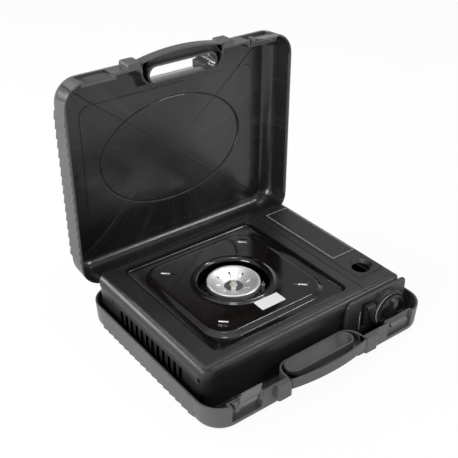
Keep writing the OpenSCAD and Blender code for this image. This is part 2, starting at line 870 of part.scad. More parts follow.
// Square enamelled plate, stored upside down: rim, raised middle and a round bead along the hole
module pan_support() {
    low = pan_mid + pan_slope;
    low_r = 30 + pan_slope;
    rim_r = opening_r - pan_play;
    color("#241d1b") translate([burner.x, burner.y, 0]) {
        translate([0, 0, plate_z]) linear_extrude(pan_t) difference() {
            round_rect([pan_side, pan_side], rim_r);
            round_rect([2 * low, 2 * low], low_r);
        }
        translate([0, 0, plate_z]) linear_extrude(pan_t + 1.3) difference() {
            round_rect([pan_side, pan_side], rim_r);
            round_rect([pan_side - 2 * pan_t, pan_side - 2 * pan_t], rim_r - pan_t);
        }
        sweep_wall(-low, low, -low, low, low_r)
            polygon([[0.5, plate_z], [0.5, plate_z + pan_t], [-0.6, plate_z + pan_t],
                [0.4 - pan_slope, mid_z + pan_t], [-0.6 - pan_slope, mid_z + pan_t],
                [-0.6 - pan_slope, mid_z], [0.4 - pan_slope, mid_z], [-0.6, plate_z]]);
        difference() {
            translate([0, 0, mid_z]) linear_extrude(pan_t) difference() {
                round_rect([2 * pan_mid, 2 * pan_mid], 30);
                circle(pan_hole_r + bead_w - 1);
            }
            for (a = [45:90:315]) at_tab(a, mid_z - 1) cube([tab.x + 0.6, tab.y + 0.6, 6], center = true);
        }
        rotate_extrude($fn = 96) bead_section();
    }
}

// Section of the bead: rises from the raised middle, turns over and drops into the hole
module bead_section() {
    r = bead_w / 2;
    z = bead_top - r;
    intersection() {
        translate([pan_hole_r + r, z]) difference() {
            circle(r);
            circle(r - pan_t);
        }
        translate([pan_hole_r, z]) square([bead_w, r]);
    }
    translate([pan_hole_r, z - 2]) square([pan_t, 2]);
}

// Place of the tab of the prong at an angle round the burner, all tabs lying the same way
module at_tab(a, z) {
    translate([slot_d * cos(a), slot_d * sin(a), z]) rotate(tab_turn) children();
}

// Four upright fins under the plate, each with a tab that shows in its slot
module support_prongs() {
    inner = pan_hole_r + bead_w + 2;
    outer = slot_d + 6;
    foot = mid_z - prong_h;
    color("#2e2a29") translate([burner.x, burner.y, 0]) for (a = [45:90:315]) {
        rotate(a) translate([0, prong_t / 2, 0]) rotate([90, 0, 0]) linear_extrude(prong_t)
            polygon([[inner, mid_z], [outer, mid_z], [outer, mid_z - 8], [outer - 10, foot + 2],
                [outer - 14, foot], [inner + 8, foot], [inner, foot + 8]]);
        at_tab(a, mid_z + pan_t / 2 + 0.4) cube([tab.x, tab.y, pan_t + 1.2], center = true);
    }
}

// Burner

// Solid along the mixing tube's centre line: from the burner, round the elbow, to the inlet by the
// partition, swelling a little at both ends of the elbow
module tube_path(r, start_at, swell) {
    d = [cos(elbow_turn), -sin(elbow_turn), 0];
    bend_start = [elbow_x, pipe_y, tube_z] - elbow_len * d;
    bend_end = elbow_x + elbow_len;
    rod([burner.x, burner.y, tube_z] + start_at * d, bend_start - 0.5 * d, r);
    rod(bend_start - 2 * d, bend_start + 2 * d, r + swell);
    translate([bend_end, pipe_y + elbow_r, tube_z]) rotate([0, 0, 270 - elbow_turn])
        rotate_extrude(angle = elbow_turn) translate([elbow_r, 0]) circle(r);
    rod_x(bend_end - 2, bend_end + 2, pipe_y, tube_z, r + swell);
    rod_x(bend_end + 0.5, inlet_x, pipe_y, tube_z, r);
}

// Straight part of the mixing tube's centre line, between two distances from the burner's axis
module tube_leg(from, to, r) {
    d = [cos(elbow_turn), -sin(elbow_turn), 0];
    axis = [burner.x, burner.y, tube_z];
    rod(axis + from * d, axis + to * d, r);
}

// Cast bowl with a mixing chamber below and a flange under the dish's floor
module burner_bowl() {
    low = tube_z - tube_r - 2;
    color("#8f9296") difference() {
        translate([burner.x, burner.y, 0]) rotate_extrude($fn = 96)
            polygon([[0, low], [16, low], [16, well_floor - 1.5], [cap_r + 2.2, well_floor - 1.5],
                [cap_r + 2.2, well_floor], [cap_r - 10, well_floor], [cap_r - 2, well_floor + 6],
                [cap_r - 2, cap_z - 9], [cap_r - 4.5, cap_z - 9], [cap_r - 4.5, well_floor + 8],
                [13, well_floor + 1], [13, low + 2], [0, low + 2]]);
        tube_leg(14.5, 30, tube_r + run_gap);
        tube_leg(8, 30, tube_r - tube_wall);
    }
}

// Dished aluminium cap with a ring of flame ports, each in a short drop-shaped hollow
module burner_cap() {
    slope = atan2(cap_dish - 1, cap_r - 4 - hub_r);
    port_d = hub_r + 11.5;
    color("#d6d8da") translate([burner.x, burner.y, 0]) difference() {
        rotate_extrude($fn = 96)
            polygon([[hub_r, flame_z + 1], [cap_r - 4, cap_z], [cap_r - 1, cap_z], [cap_r, cap_z - 1],
                [cap_r, cap_z - 8.9], [cap_r - 1.8, cap_z - 8.9], [cap_r - 1.8, cap_z - 3],
                [cap_r - 5, cap_z - 3], [hub_r, flame_z - 2]]);
        for (i = [0:port_count - 1]) rotate(22.5 + i * 360 / port_count)
            translate([port_d, 0, flame_z + 1 + (port_d - hub_r) * tan(slope)]) rotate([0, -slope, 0]) {
                translate([0, 0, -8]) cylinder(h = 16, r = port_r, $fn = 24);
                translate([-7, 0, 1]) rotate([0, 90, 0]) cylinder(h = 7, r = 2, $fn = 24);
            }
    }
}

module flame_plate() {
    color("#4d4f51") translate([burner.x, burner.y, flame_z - 2]) cylinder(h = 1.5, r = hub_r);
}

// Strip across the flame plate, held by the nut
module burner_bridge() {
    color("#c6c8ca") translate([burner.x, burner.y, flame_z - 0.5]) rotate(53) difference() {
        translate([0.6 - hub_r, -3.5, 0]) cube([2 * hub_r - 1.2, 7, 1.2]);
        translate([0, 0, -1]) cylinder(h = 4, r = 2);
    }
}

module burner_nut() {
    color("#b9b3a4") translate([burner.x, burner.y, flame_z - 0.5]) {
        translate([0, 0, 1.2]) difference() {
            cylinder(h = 2.6, r = 5.5);
            translate([0, 0, 0.8]) cylinder(h = 3, r = 3.2);
        }
        cylinder(h = 3.2, r = 2);
    }
}

module mixing_tube() {
    color("#a9abad") difference() {
        tube_path(tube_r, 14.5, 0.5);
        tube_path(tube_r - tube_wall, 12, 0.3);
        rod_x(inlet_x - 2, inlet_x + 2, pipe_y, tube_z, tube_r - tube_wall);
    }
}

module air_shutter() {
    color("#8b8d8f") difference() {
        rod_x(elbow_x + elbow_len + 2.5, inlet_x - 2, pipe_y, tube_z, tube_r + 1.2);
        rod_x(elbow_x + elbow_len, inlet_x, pipe_y, tube_z, tube_r);
    }
}

// Pipe from the valve to the jet in the mixing tube's mouth
module gas_pipe() {
    color("#b08d57") {
        rod_x(inlet_x - 4, valve_x0, pipe_y, tube_z, pipe_r);
        rod_x(inlet_x - 6, inlet_x - 4 + eps, pipe_y, tube_z, pipe_r - 1);
    }
}

// Valve and igniter

module regulator_bracket() {
    x0 = arm_x + 6;
    x1 = shell_right - 8;
    color("#8c8e90") difference() {
        union() {
            block([x0, bracket_y, pan_top], [x1, bracket_y + bracket_t, can_z + 20]);
            block([x0, bracket_y, pan_top], [x1, bracket_y + 10, pan_top + bracket_t]);
        }
        rod_y(knob_x, knob_z, bracket_y - 1, bracket_y + 3, spindle_r + 1.5);
        rod_y(knob_x + 21.5, knob_z + 4, bracket_y - 1, bracket_y + 3, 3);
    }
}

// Die-cast valve: block, cap and inlet socket towards the cartridge
module valve_body() {
    back = valve_y + valve_depth;
    color("#9a9da0") difference() {
        union() {
            block([valve_x0, valve_y, knob_z - 13], [valve_x1, back, knob_z + 17]);
            rod_y(knob_x, can_z, back - eps, back + 5, 11);
            rod_y(knob_x, can_z, back + 5 - eps, back + 9, 2.5);
            translate([knob_x, valve_y + 9, knob_z + 17 - eps]) cylinder(h = 5, r = 8);
        }
        rod_y(knob_x, knob_z, valve_y - 1, valve_y + 10, spindle_r + run_gap);
        rod_y(knob_x, can_z, back + 1, back + 10, 1.2);
    }
}

// Spindle that the knob turns, with the cam that trips the igniter
module valve_spindle() {
    color("#c9b27a") {
        rod_y(knob_x, knob_z, dial_y - 5, valve_y + 9.5, spindle_r);
        translate([knob_x, shell_front + 5.5, knob_z]) rotate([90, 0, 0]) linear_extrude(2.5) {
            circle(12);
            for (a = [60, 240]) rotate(a) translate([10, 0]) circle(5);
        }
    }
}

module piezo_igniter() {
    color("#c8c4b8") {
        block([valve_x1 + 1, valve_y, knob_z - 8], [valve_x1 + 10.2, valve_y + 20, knob_z + 12]);
        rod_y(knob_x + 21.5, knob_z + 4, bracket_y - 4, valve_y + 1, 2.2);
    }
}

// High-voltage lead from the igniter, along the floor and up to the electrode
module igniter_lead() {
    x = valve_x1 + 5.5;
    e = electrode_at;
    points = [[x, lead_y, knob_z - 8], [x, lead_y, lead_z], [part_x - 12, lead_y, lead_z],
        [e.x + 14, e.y - 20, lead_z], [e.x, e.y, lead_z], [e.x, e.y, well_floor - 8]];
    color("#d8d8d0") {
        for (i = [0:len(points) - 2]) rod(points[i], points[i + 1], lead_r);
        for (i = [1:len(points) - 2]) translate(points[i]) sphere(lead_r + 0.2);
    }
}

module electrode() {
    translate([electrode_at.x, electrode_at.y, well_floor - 8]) {
        color("#e8e6df") cylinder(h = 20, r = electrode_r);
        color("silver") translate([0, 0, 20 - eps]) cylinder(h = 5, r = 0.9);
    }
}

// Front controls

// Moulded control panel: rounded edges, lever slot, a notch beside it and the dial's boss
module control_panel() {
    w = panel_x1 - panel_x0;
    h = panel_z1 - panel_z0;
    back = front_y - lap_gap;
    depth = back - panel_y;
    color("#28292b") difference() {
        union() {
            translate([panel_x0 + w / 2, back, panel_z0 + h / 2]) rotate([90, 0, 0]) {
                linear_extrude(depth - 1.5) round_rect([w, h], 9);
                translate([0, 0, depth - 1.5 - eps]) linear_extrude(1.5 + eps)
                    round_rect([w - 3, h - 3], 7.5);
            }
            block([panel_x0 + 3, back - eps, panel_z0 + 3], [seam_x - 12, shell_front, top_z - skirt_h - 2]);
            block([knob_x - 20, back - eps, panel_z0 + 3], [right_x - 14, shell_front, top_z - skirt_h - 2]);
            rod_y(knob_x, knob_z, dial_y + 1, panel_y + 1, dial_r + 1.5);
        }
        lever_slot(1.5);
        block([lever_x - 2, panel_y - 1, pin_z + 8],
            [lever_x - 2 + notch.x, panel_y + 2.2, pin_z + 8 + notch.y]);
        rod_y(knob_x, knob_z, dial_y - 1, shell_front + 1, spindle_r + 0.6);
    }
}

module dial_ring() {
    color("#c9cbcd") difference() {
        rod_y(knob_x, knob_z, dial_y, dial_y + 1, dial_r);
        rod_y(knob_x, knob_z, dial_y - 1, dial_y + 2, knob_r + 0.6);
    }
}

// Knob: fluted skirt, scooped face and a tapered grip across it
module control_knob() {
    skirt = 6;
    color("#1a1a1b") translate([knob_x, dial_y + 1 - lap_gap, knob_z]) rotate([90, 0, 0]) difference() {
        union() {
            linear_extrude(skirt) polygon(flute_points(knob_r, 0.9, flute_count));
            intersection() {
                translate([0, 0, skirt - eps])
                    cylinder(h = knob_proud - skirt, r1 = knob_r - 1.5, r2 = knob_r - 3.5);
                rotate([90, 0, 0]) translate([0, 0, -knob_r]) linear_extrude(2 * knob_r)
                    polygon([[-6.5, skirt - 1], [6.5, skirt - 1], [4, knob_proud], [-4, knob_proud]]);
            }
        }
        translate([0, 0, -1]) cylinder(h = 7.6, r = spindle_r + run_gap);
        for (side = [-1, 1]) translate([side * 16, -9, skirt + 17.5]) rotate([-90, 0, 0])
            cylinder(h = 18, r = 19);
    }
}

// Slanted slot that turns the lever's travel into the claw's
module slot_outline(upper) {
    d = upper - [pin_y, pin_z];
    r = pin_r + run_gap;
    translate([pin_y, pin_z]) circle(r);
    translate(upper) circle(r);
    translate([pin_y, pin_z]) rotate(atan2(d.y, d.x)) translate([0, -r]) square([norm(d), 2 * r]);
}

// Sheet lever: slotted plate inside, stem through the front and a moulded tab outside
module lock_lever() {
    slot_top = [pin_y - claw_travel, pin_z + lever_travel];
    stem_z = pin_z + 9;
    color("#303133") {
        difference() {
            block([lever_x, shell_front + 2.5, pin_z - 5],
                [lever_x + lever_t, pin_y + 5.5, slot_top.y + 4.5]);
            translate([lever_x - 1, 0, 0]) rotate([90, 0, 90]) linear_extrude(lever_t + 2)
                slot_outline(slot_top);
        }
        block([lever_x, panel_y - 8, stem_z], [lever_x + lever_t, shell_front + 3, stem_z + 7]);
        translate([lever_x - 0.8, panel_y - 9, stem_z - 0.5]) cube([15, 8.2, 7.5]);
    }
}

// Claw that pulls the cartridge's collar forwards, moved by the pin in the lever's slot
module cartridge_claw() {
    color("#a5a7a9") {
        difference() {
            block([arm_x, claw_y, pan_top + lap_gap], [shell_right - 12, claw_y + 2, can_z + 18]);
            rod_y(knob_x, can_z, claw_y - 1, claw_y + 3, 20);
            block([knob_x - 20, claw_y - 1, can_z], [knob_x + 20, claw_y + 3, can_z + 30]);
        }
        block([arm_x, pin_y - 4, pin_z - 4], [arm_x + 2, claw_y + 1, pin_z + 4]);
        rod_x(lever_x - 0.7, arm_x + 0.5, pin_y, pin_z, pin_r);
    }
}

// Cartridge cover

// Hinged cover: rolled edges, raised panel, finger hole in a dimple, grooves and hinge ears
module gas_cover() {
    x0 = seam_x + lap_gap + 0.3;
    fx = (label_x0 + label_x1) / 2;
    low = top_z - skirt_h;
    color("#1d1e1f") {
        difference() {
            union() {
                intersection() {
                    difference() {
                        crown_solid(cover_skirt_z, 0);
                        crown_solid(cover_skirt_z - 1, sheet);
                    }
                    block([x0, front_y - 1, cover_skirt_z], [right_x + 1, back_y + 1, top_z + 1]);
                }
                block([label_x0, front_y + 26, top_z - eps], [label_x1, back_y - 24, top_z + 0.8]);
                translate([fx, finger_y, top_z - 4]) cylinder(h = 4, r = 19.5);
            }
            block([x0 - 1, front_y - 1, 0], [right_x - 4, front_y + sheet + 0.5, low]);
            block([x0 - 1, back_y - sheet - 0.5, 0], [right_x - 4, back_y + 1, low]);
            translate([fx, finger_y, top_z - 5]) cylinder(h = 7, r = 12.5);
            translate([fx, finger_y, top_z - 3]) cylinder(h = 5, r1 = 12.5, r2 = 19.5);
            block([label_x0, front_y + 24, top_z - 0.6], [label_x1, front_y + 30, top_z + 2]);
            block([label_x0 - 2, front_y + 8, top_z - 0.6], [right_x - 6, front_y + 12, top_z + 1]);
            for (y = lug_ys)
                block([cover_axis.x - 6, y - lug_t / 2 - lap_gap, 0],
                    [right_x + 1, y + lug_t / 2 + lap_gap, cover_axis.y + 5]);
        }
        for (y = lug_ys, side = [-1, 1]) cover_ear(y + side * (lug_t / 2 + lap_gap + ear_t / 2));
    }
}

module cover_ear(y) {
    y0 = y - ear_t / 2;
    y1 = y + ear_t / 2;
    difference() {
        union() {
            rod_y(cover_axis.x, cover_axis.y, y0, y1, 3.8);
            block([cover_axis.x, y0, cover_skirt_z], [right_x - sheet / 2, y1, cover_axis.y + 6]);
        }
        rod_y(cover_axis.x, cover_axis.y, y0 - 1, y1 + 1, cover_pin_r + run_gap);
    }
}

module cover_hinge_pins() {
    reach = lug_t / 2 + lap_gap + ear_t + 0.6;
    color("silver") for (y = lug_ys)
        rod_y(cover_axis.x, cover_axis.y, y - reach, y + reach, cover_pin_r);
}

case_tray();
case_lid();
case_hinge_pins();
tray_latch();
tray_latch_pin();
lid_latch();
lid_latch_pin();
base_pan();
rubber_feet();
body_shell();
shell_screws();
partition_plate();
top_plate();
burner_well();
pan_support();
support_prongs();
burner_bowl();
burner_cap();
flame_plate();
burner_bridge();
burner_nut();
mixing_tube();
air_shutter();
gas_pipe();
electrode();
igniter_lead();
piezo_igniter();
regulator_bracket();
valve_body();
valve_spindle();
control_panel();
dial_ring();
control_knob();
lock_lever();
cartridge_claw();
gas_cover();
cover_hinge_pins();
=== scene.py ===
"""Butane cassette stove in its open carrying case: finishes, small parts, light and camera."""

import json
import logging
import math
from dataclasses import dataclass
from enum import Enum
from typing import Any, Dict, List, Optional, Sequence, Tuple, Union

import bmesh
import bpy
from mathutils import Matrix, Vector

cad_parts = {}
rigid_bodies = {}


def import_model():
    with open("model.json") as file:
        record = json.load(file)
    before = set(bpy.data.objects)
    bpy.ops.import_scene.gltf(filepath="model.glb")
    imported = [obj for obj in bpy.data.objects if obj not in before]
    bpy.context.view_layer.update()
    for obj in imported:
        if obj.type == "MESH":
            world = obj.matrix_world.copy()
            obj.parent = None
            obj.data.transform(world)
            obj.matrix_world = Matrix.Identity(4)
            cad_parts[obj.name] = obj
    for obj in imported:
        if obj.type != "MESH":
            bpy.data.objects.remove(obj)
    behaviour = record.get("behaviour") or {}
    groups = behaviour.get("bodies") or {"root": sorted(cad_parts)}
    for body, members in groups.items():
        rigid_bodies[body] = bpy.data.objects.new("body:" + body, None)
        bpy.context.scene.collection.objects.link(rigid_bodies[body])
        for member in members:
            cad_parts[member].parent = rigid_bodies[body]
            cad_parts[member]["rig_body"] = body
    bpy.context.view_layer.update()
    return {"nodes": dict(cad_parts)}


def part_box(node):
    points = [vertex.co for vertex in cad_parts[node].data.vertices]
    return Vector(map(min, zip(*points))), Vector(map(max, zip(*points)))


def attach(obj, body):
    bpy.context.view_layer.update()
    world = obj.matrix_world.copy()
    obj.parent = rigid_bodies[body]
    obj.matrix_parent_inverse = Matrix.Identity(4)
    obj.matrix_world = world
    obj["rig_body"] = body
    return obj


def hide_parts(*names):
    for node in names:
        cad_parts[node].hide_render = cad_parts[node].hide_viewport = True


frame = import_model()
LOG = logging.getLogger("cassette_stove")
MM = 0.001

Colour = Tuple[float, float, float]
Point = Tuple[float, float, float]


class Slot(Enum):
    """Material slots of the record."""

    CASE = "case_plastic"
    LATCH = "latch_plastic"
    BRIGHT_STEEL = "bright_steel"
    ZINC = "zinc_steel"
    PAINT = "black_paint"
    ENAMEL = "enamel"
    CAST = "cast_aluminium"
    CAP = "bright_aluminium"
    DARK_STEEL = "dark_steel"
    BRASS = "brass"
    CERAMIC = "ceramic"
    SLEEVE = "white_rubber"
    WHITE = "white_plastic"
    RUBBER = "rubber"
    PANEL = "panel_plastic"
    DIAL = "dial_metal"
    KNOB = "knob_plastic"


class Grain(Enum):
    """How a metal's surface was worked."""

    CAST = "cast"
    SPUN = "spun"
    DRAWN = "drawn"
    PLATED = "plated"


# Node trees


class Sock:
    """A node's output socket that takes part in Python expressions."""

    def __init__(self, nodes: "Nodes", socket: bpy.types.NodeSocket) -> None:
        """Keeps the socket and the tree it belongs to.

        Args:
            nodes: the tree under construction.
            socket: the output socket.
        """
        self.nodes = nodes
        self.socket = socket

    def maths(self, operation: str, first: "Term", second: "Term") -> "Sock":
        """Adds a Math node, or a Vector Math node where a vector takes part.

        Args:
            operation: the node's operation.
            first: the first term.
            second: the second term.

        Returns:
            The node's result.
        """
        kinds = [x.socket.type for x in (first, second) if isinstance(x, Sock)]
        if "VECTOR" not in kinds:
            return self.nodes.out("ShaderNodeMath", {"operation": operation}, {0: first, 1: second})
        terms = [x if isinstance(x, (Sock, tuple)) else (x, x, x) for x in (first, second)]
        return self.nodes.out(
            "ShaderNodeVectorMath", {"operation": operation}, {0: terms[0], 1: terms[1]}
        )

    def __add__(self, other: "Term") -> "Sock":
        """Sum."""
        return self.maths("ADD", self, other)

    def __radd__(self, other: "Term") -> "Sock":
        """Sum with a plain number first."""
        return self.maths("ADD", other, self)

    def __sub__(self, other: "Term") -> "Sock":
        """Difference."""
        return self.maths("SUBTRACT", self, other)

    def __rsub__(self, other: "Term") -> "Sock":
        """Difference from a plain number."""
        return self.maths("SUBTRACT", other, self)

    def __mul__(self, other: "Term") -> "Sock":
        """Product."""
        return self.maths("MULTIPLY", self, other)

    def __rmul__(self, other: "Term") -> "Sock":
        """Product with a plain number first."""
        return self.maths("MULTIPLY", other, self)

    def __truediv__(self, other: "Term") -> "Sock":
        """Quotient."""
        return self.maths("DIVIDE", self, other)

    def __rtruediv__(self, other: "Term") -> "Sock":
        """Quotient of a plain number."""
        return self.maths("DIVIDE", other, self)

    def __pow__(self, other: "Term") -> "Sock":
        """Power."""
        return self.maths("POWER", self, other)

    def __neg__(self) -> "Sock":
        """The value with its sign changed."""
        return self.maths("MULTIPLY", self, -1.0)

    def __gt__(self, other: "Term") -> "Sock":
        """One where the value is the greater, else zero."""
        return self.maths("GREATER_THAN", self, other)

    def __lt__(self, other: "Term") -> "Sock":
        """One where the value is the lesser, else zero."""
        return self.maths("LESS_THAN", self, other)


Term = Union[Sock, float, Tuple[float, float, float]]


class Nodes:
    """A node tree under construction. Every node comes from one method."""

    def __init__(self, tree: bpy.types.NodeTree) -> None:
        """Starts on an empty tree.

        Args:
            tree: the shader or geometry tree.
        """
        self.tree = tree
        tree.nodes.clear()

    def node(
        self,
        kind: str,
        settings: Optional[Dict[str, Any]] = None,
        inputs: Optional[Dict[Union[int, str], Any]] = None,
    ) -> bpy.types.Node:
        """Makes one node.

        Args:
            kind: the node's type.
            settings: attributes that are set first; "stops" fills a colour ramp.
            inputs: values or links of its sockets, by name or number.

        Returns:
            The node.
        """
        made = self.tree.nodes.new(kind)
        for key, value in (settings or {}).items():
            if key == "stops":
                for i, (place, colour) in enumerate(value):
                    ramp = made.color_ramp.elements
                    stop = ramp[i] if i < 2 else ramp.new(place)
                    stop.position, stop.color = place, (*colour, 1.0)
            else:
                setattr(made, key, value)
        for key, value in (inputs or {}).items():
            if isinstance(value, Sock):
                self.tree.links.new(value.socket, made.inputs[key])
            else:
                made.inputs[key].default_value = value
        return made

    def out(
        self,
        kind: str,
        settings: Optional[Dict[str, Any]] = None,
        inputs: Optional[Dict[Union[int, str], Any]] = None,
        output: Union[int, str] = 0,
    ) -> Sock:
        """Makes one node and hands back one of its outputs.

        Args:
            kind: the node's type.
            settings: attributes that are set first.
            inputs: values or links of its sockets.
            output: which output.

        Returns:
            The output as a Sock.
        """
        return Sock(self, self.node(kind, settings, inputs).outputs[output])

    def place(self) -> Sock:
        """The surface point in object coordinates, in metres."""
        return self.out("ShaderNodeTexCoord", output="Object")

    def axes(self, vector: Sock) -> Tuple[Sock, Sock, Sock]:
        """A vector's three parts.

        Args:
            vector: the vector.

        Returns:
            Its x, y and z.
        """
        made = self.node("ShaderNodeSeparateXYZ", None, {0: vector})
        return Sock(self, made.outputs[0]), Sock(self, made.outputs[1]), Sock(self, made.outputs[2])

    def vector(self, x: Term, y: Term, z: Term) -> Sock:
        """A vector from three parts.

        Args:
            x: first part.
            y: second part.
            z: third part.

        Returns:
            The vector.
        """
        return self.out("ShaderNodeCombineXYZ", None, {0: x, 1: y, 2: z})

    def noise(self, where: Sock, scale: float, detail: float = 2.0, rough: float = 0.5) -> Sock:
        """Noise between 0 and 1.

        Args:
            where: texture coordinates.
            scale: cells per metre.
            detail: octaves.
            rough: weight of the fine octaves.

        Returns:
            The noise value.
        """
        return self.out(
            "ShaderNodeTexNoise",
            {"noise_dimensions": "3D"},
            {"Vector": where, "Scale": scale, "Detail": detail, "Roughness": rough},
        )

    def cells(self, where: Sock, scale: float) -> Sock:
        """Distance to the nearest of scattered points, in cells.

        Args:
            where: texture coordinates.
            scale: cells per metre.

        Returns:
            The distance.
        """
        return self.out("ShaderNodeTexVoronoi", None, {"Vector": where, "Scale": scale})

    def fit(self, value: Sock, low: float, high: float, to_low: float, to_high: float) -> Sock:
        """Carries a value from one span to another and clamps it.

        Args:
            value: the value.
            low: start of its span.
            high: end of its span.
            to_low: result at low.
            to_high: result at high.

        Returns:
            The carried value.
        """
        return self.out(
            "ShaderNodeMapRange",
            {"clamp": True},
            {0: value, 1: low, 2: high, 3: to_low, 4: to_high},
        )

    def blend(self, share: Sock, first: Colour, second: Union[Colour, Sock]) -> Sock:
        """Mixes two colours.

        Args:
            share: share of the second.
            first: colour at 0.
            second: colour at 1.

        Returns:
            The mixed colour.
        """
        other = second if isinstance(second, Sock) else (*second, 1.0)
        base = first if isinstance(first, Sock) else (*first, 1.0)
        return self.out(
            "ShaderNodeMix", {"data_type": "RGBA"}, {0: share, 6: base, 7: other}, output=2
        )

    def length(self, vector: Sock) -> Sock:
        """A vector's length.

        Args:
            vector: the vector.

        Returns:
            Its length.
        """
        return self.out("ShaderNodeVectorMath", {"operation": "LENGTH"}, {0: vector}, "Value")

    def relief(self, height: Sock, depth: float, under: Optional[Sock] = None) -> Sock:
        """Turns a height between 0 and 1 into a normal.

        Args:
            height: the height.
            depth: the height of 1, in metres.
            under: a normal to start from.

        Returns:
            The normal.
        """
        inputs: Dict[Union[int, str], Any] = {"Height": height, "Distance": depth, "Strength": 1.0}
        if under is not None:
            inputs["Normal"] = under
        return self.out("ShaderNodeBump", None, inputs)


# Finishes


@dataclass(frozen=True)
class Finish:
    """A surface finish; its subclasses add what varies over the surface."""

    name: str
    colour: Colour
    roughness: float
    metallic: float = 0.0
    coat: float = 0.0
    gloss: float = 0.5

    def material(self) -> bpy.types.Material:
        """The finish's material, made at its first use.

        Returns:
            The material.
        """
        label = "finish_" + self.name
        found = bpy.data.materials.get(label)
        if found:
            return found
        made = bpy.data.materials.new(label)
        made.use_nodes = True
        made.diffuse_color = (*self.colour, 1.0)
        nodes = Nodes(made.node_tree)
        shader = nodes.node(
            "ShaderNodeBsdfPrincipled",
            None,
            {
                "Base Color": (*self.colour, 1.0),
                "Roughness": self.roughness,
                "Metallic": self.metallic,
                "Coat Weight": self.coat,
                "Coat Roughness": 0.06,
                "Specular IOR Level": self.gloss,
            },
        )
        nodes.node("ShaderNodeOutputMaterial", None, {"Surface": Sock(nodes, shader.outputs[0])})
        for key, value in self.varied(nodes).items():
            nodes.tree.links.new(value.socket, shader.inputs[key])
        return made

    def varied(self, nodes: Nodes) -> Dict[str, Sock]:
        """What varies over the surface.

        Args:
            nodes: the material's tree.

        Returns:
            Socket name and value.
        """
        spot = nodes.noise(nodes.place(), 160.0, 3.0)
        smooth, rough = self.roughness * 0.85, self.roughness * 1.15
        return {"Roughness": nodes.fit(spot, 0.3, 0.7, smooth, rough)}

    def shade(self, factor: float) -> Colour:
        """The finish's colour made lighter or darker.

        Args:
            factor: the brightness factor.

        Returns:
            The colour.
        """
        return tuple(min(1.0, c * factor) for c in self.colour)


@dataclass(frozen=True)
class MouldedPlastic(Finish):
    """Injection-moulded plastic with a fine spark-eroded grain and a slight mottle."""

    grain: float = 1700.0
    depth: float = 0.00004
    mottle: float = 0.14
    cloud: float = 14.0

    def varied(self, nodes: Nodes) -> Dict[str, Sock]:
        """Mottled colour, uneven gloss and grain.

        Args:
            nodes: the material's tree.

        Returns:
            Socket name and value.
        """
        where = nodes.place()
        patch = nodes.noise(where, self.cloud, 3.0, 0.6)
        fine = nodes.noise(where, self.grain, 2.0, 0.6)
        share = nodes.fit(patch * 0.8 + fine * 0.2, 0.3, 0.7, 0.0, 1.0)
        scuff = nodes.noise(where, 90.0, 4.0, 0.65)
        return {
            "Base Color": nodes.blend(
                share, self.shade(1.0 - self.mottle), self.shade(1.0 + self.mottle)
            ),
            "Roughness": nodes.fit(scuff, 0.25, 0.75, self.roughness - 0.06, self.roughness + 0.06),
            "Normal": nodes.relief(fine, self.depth),
        }


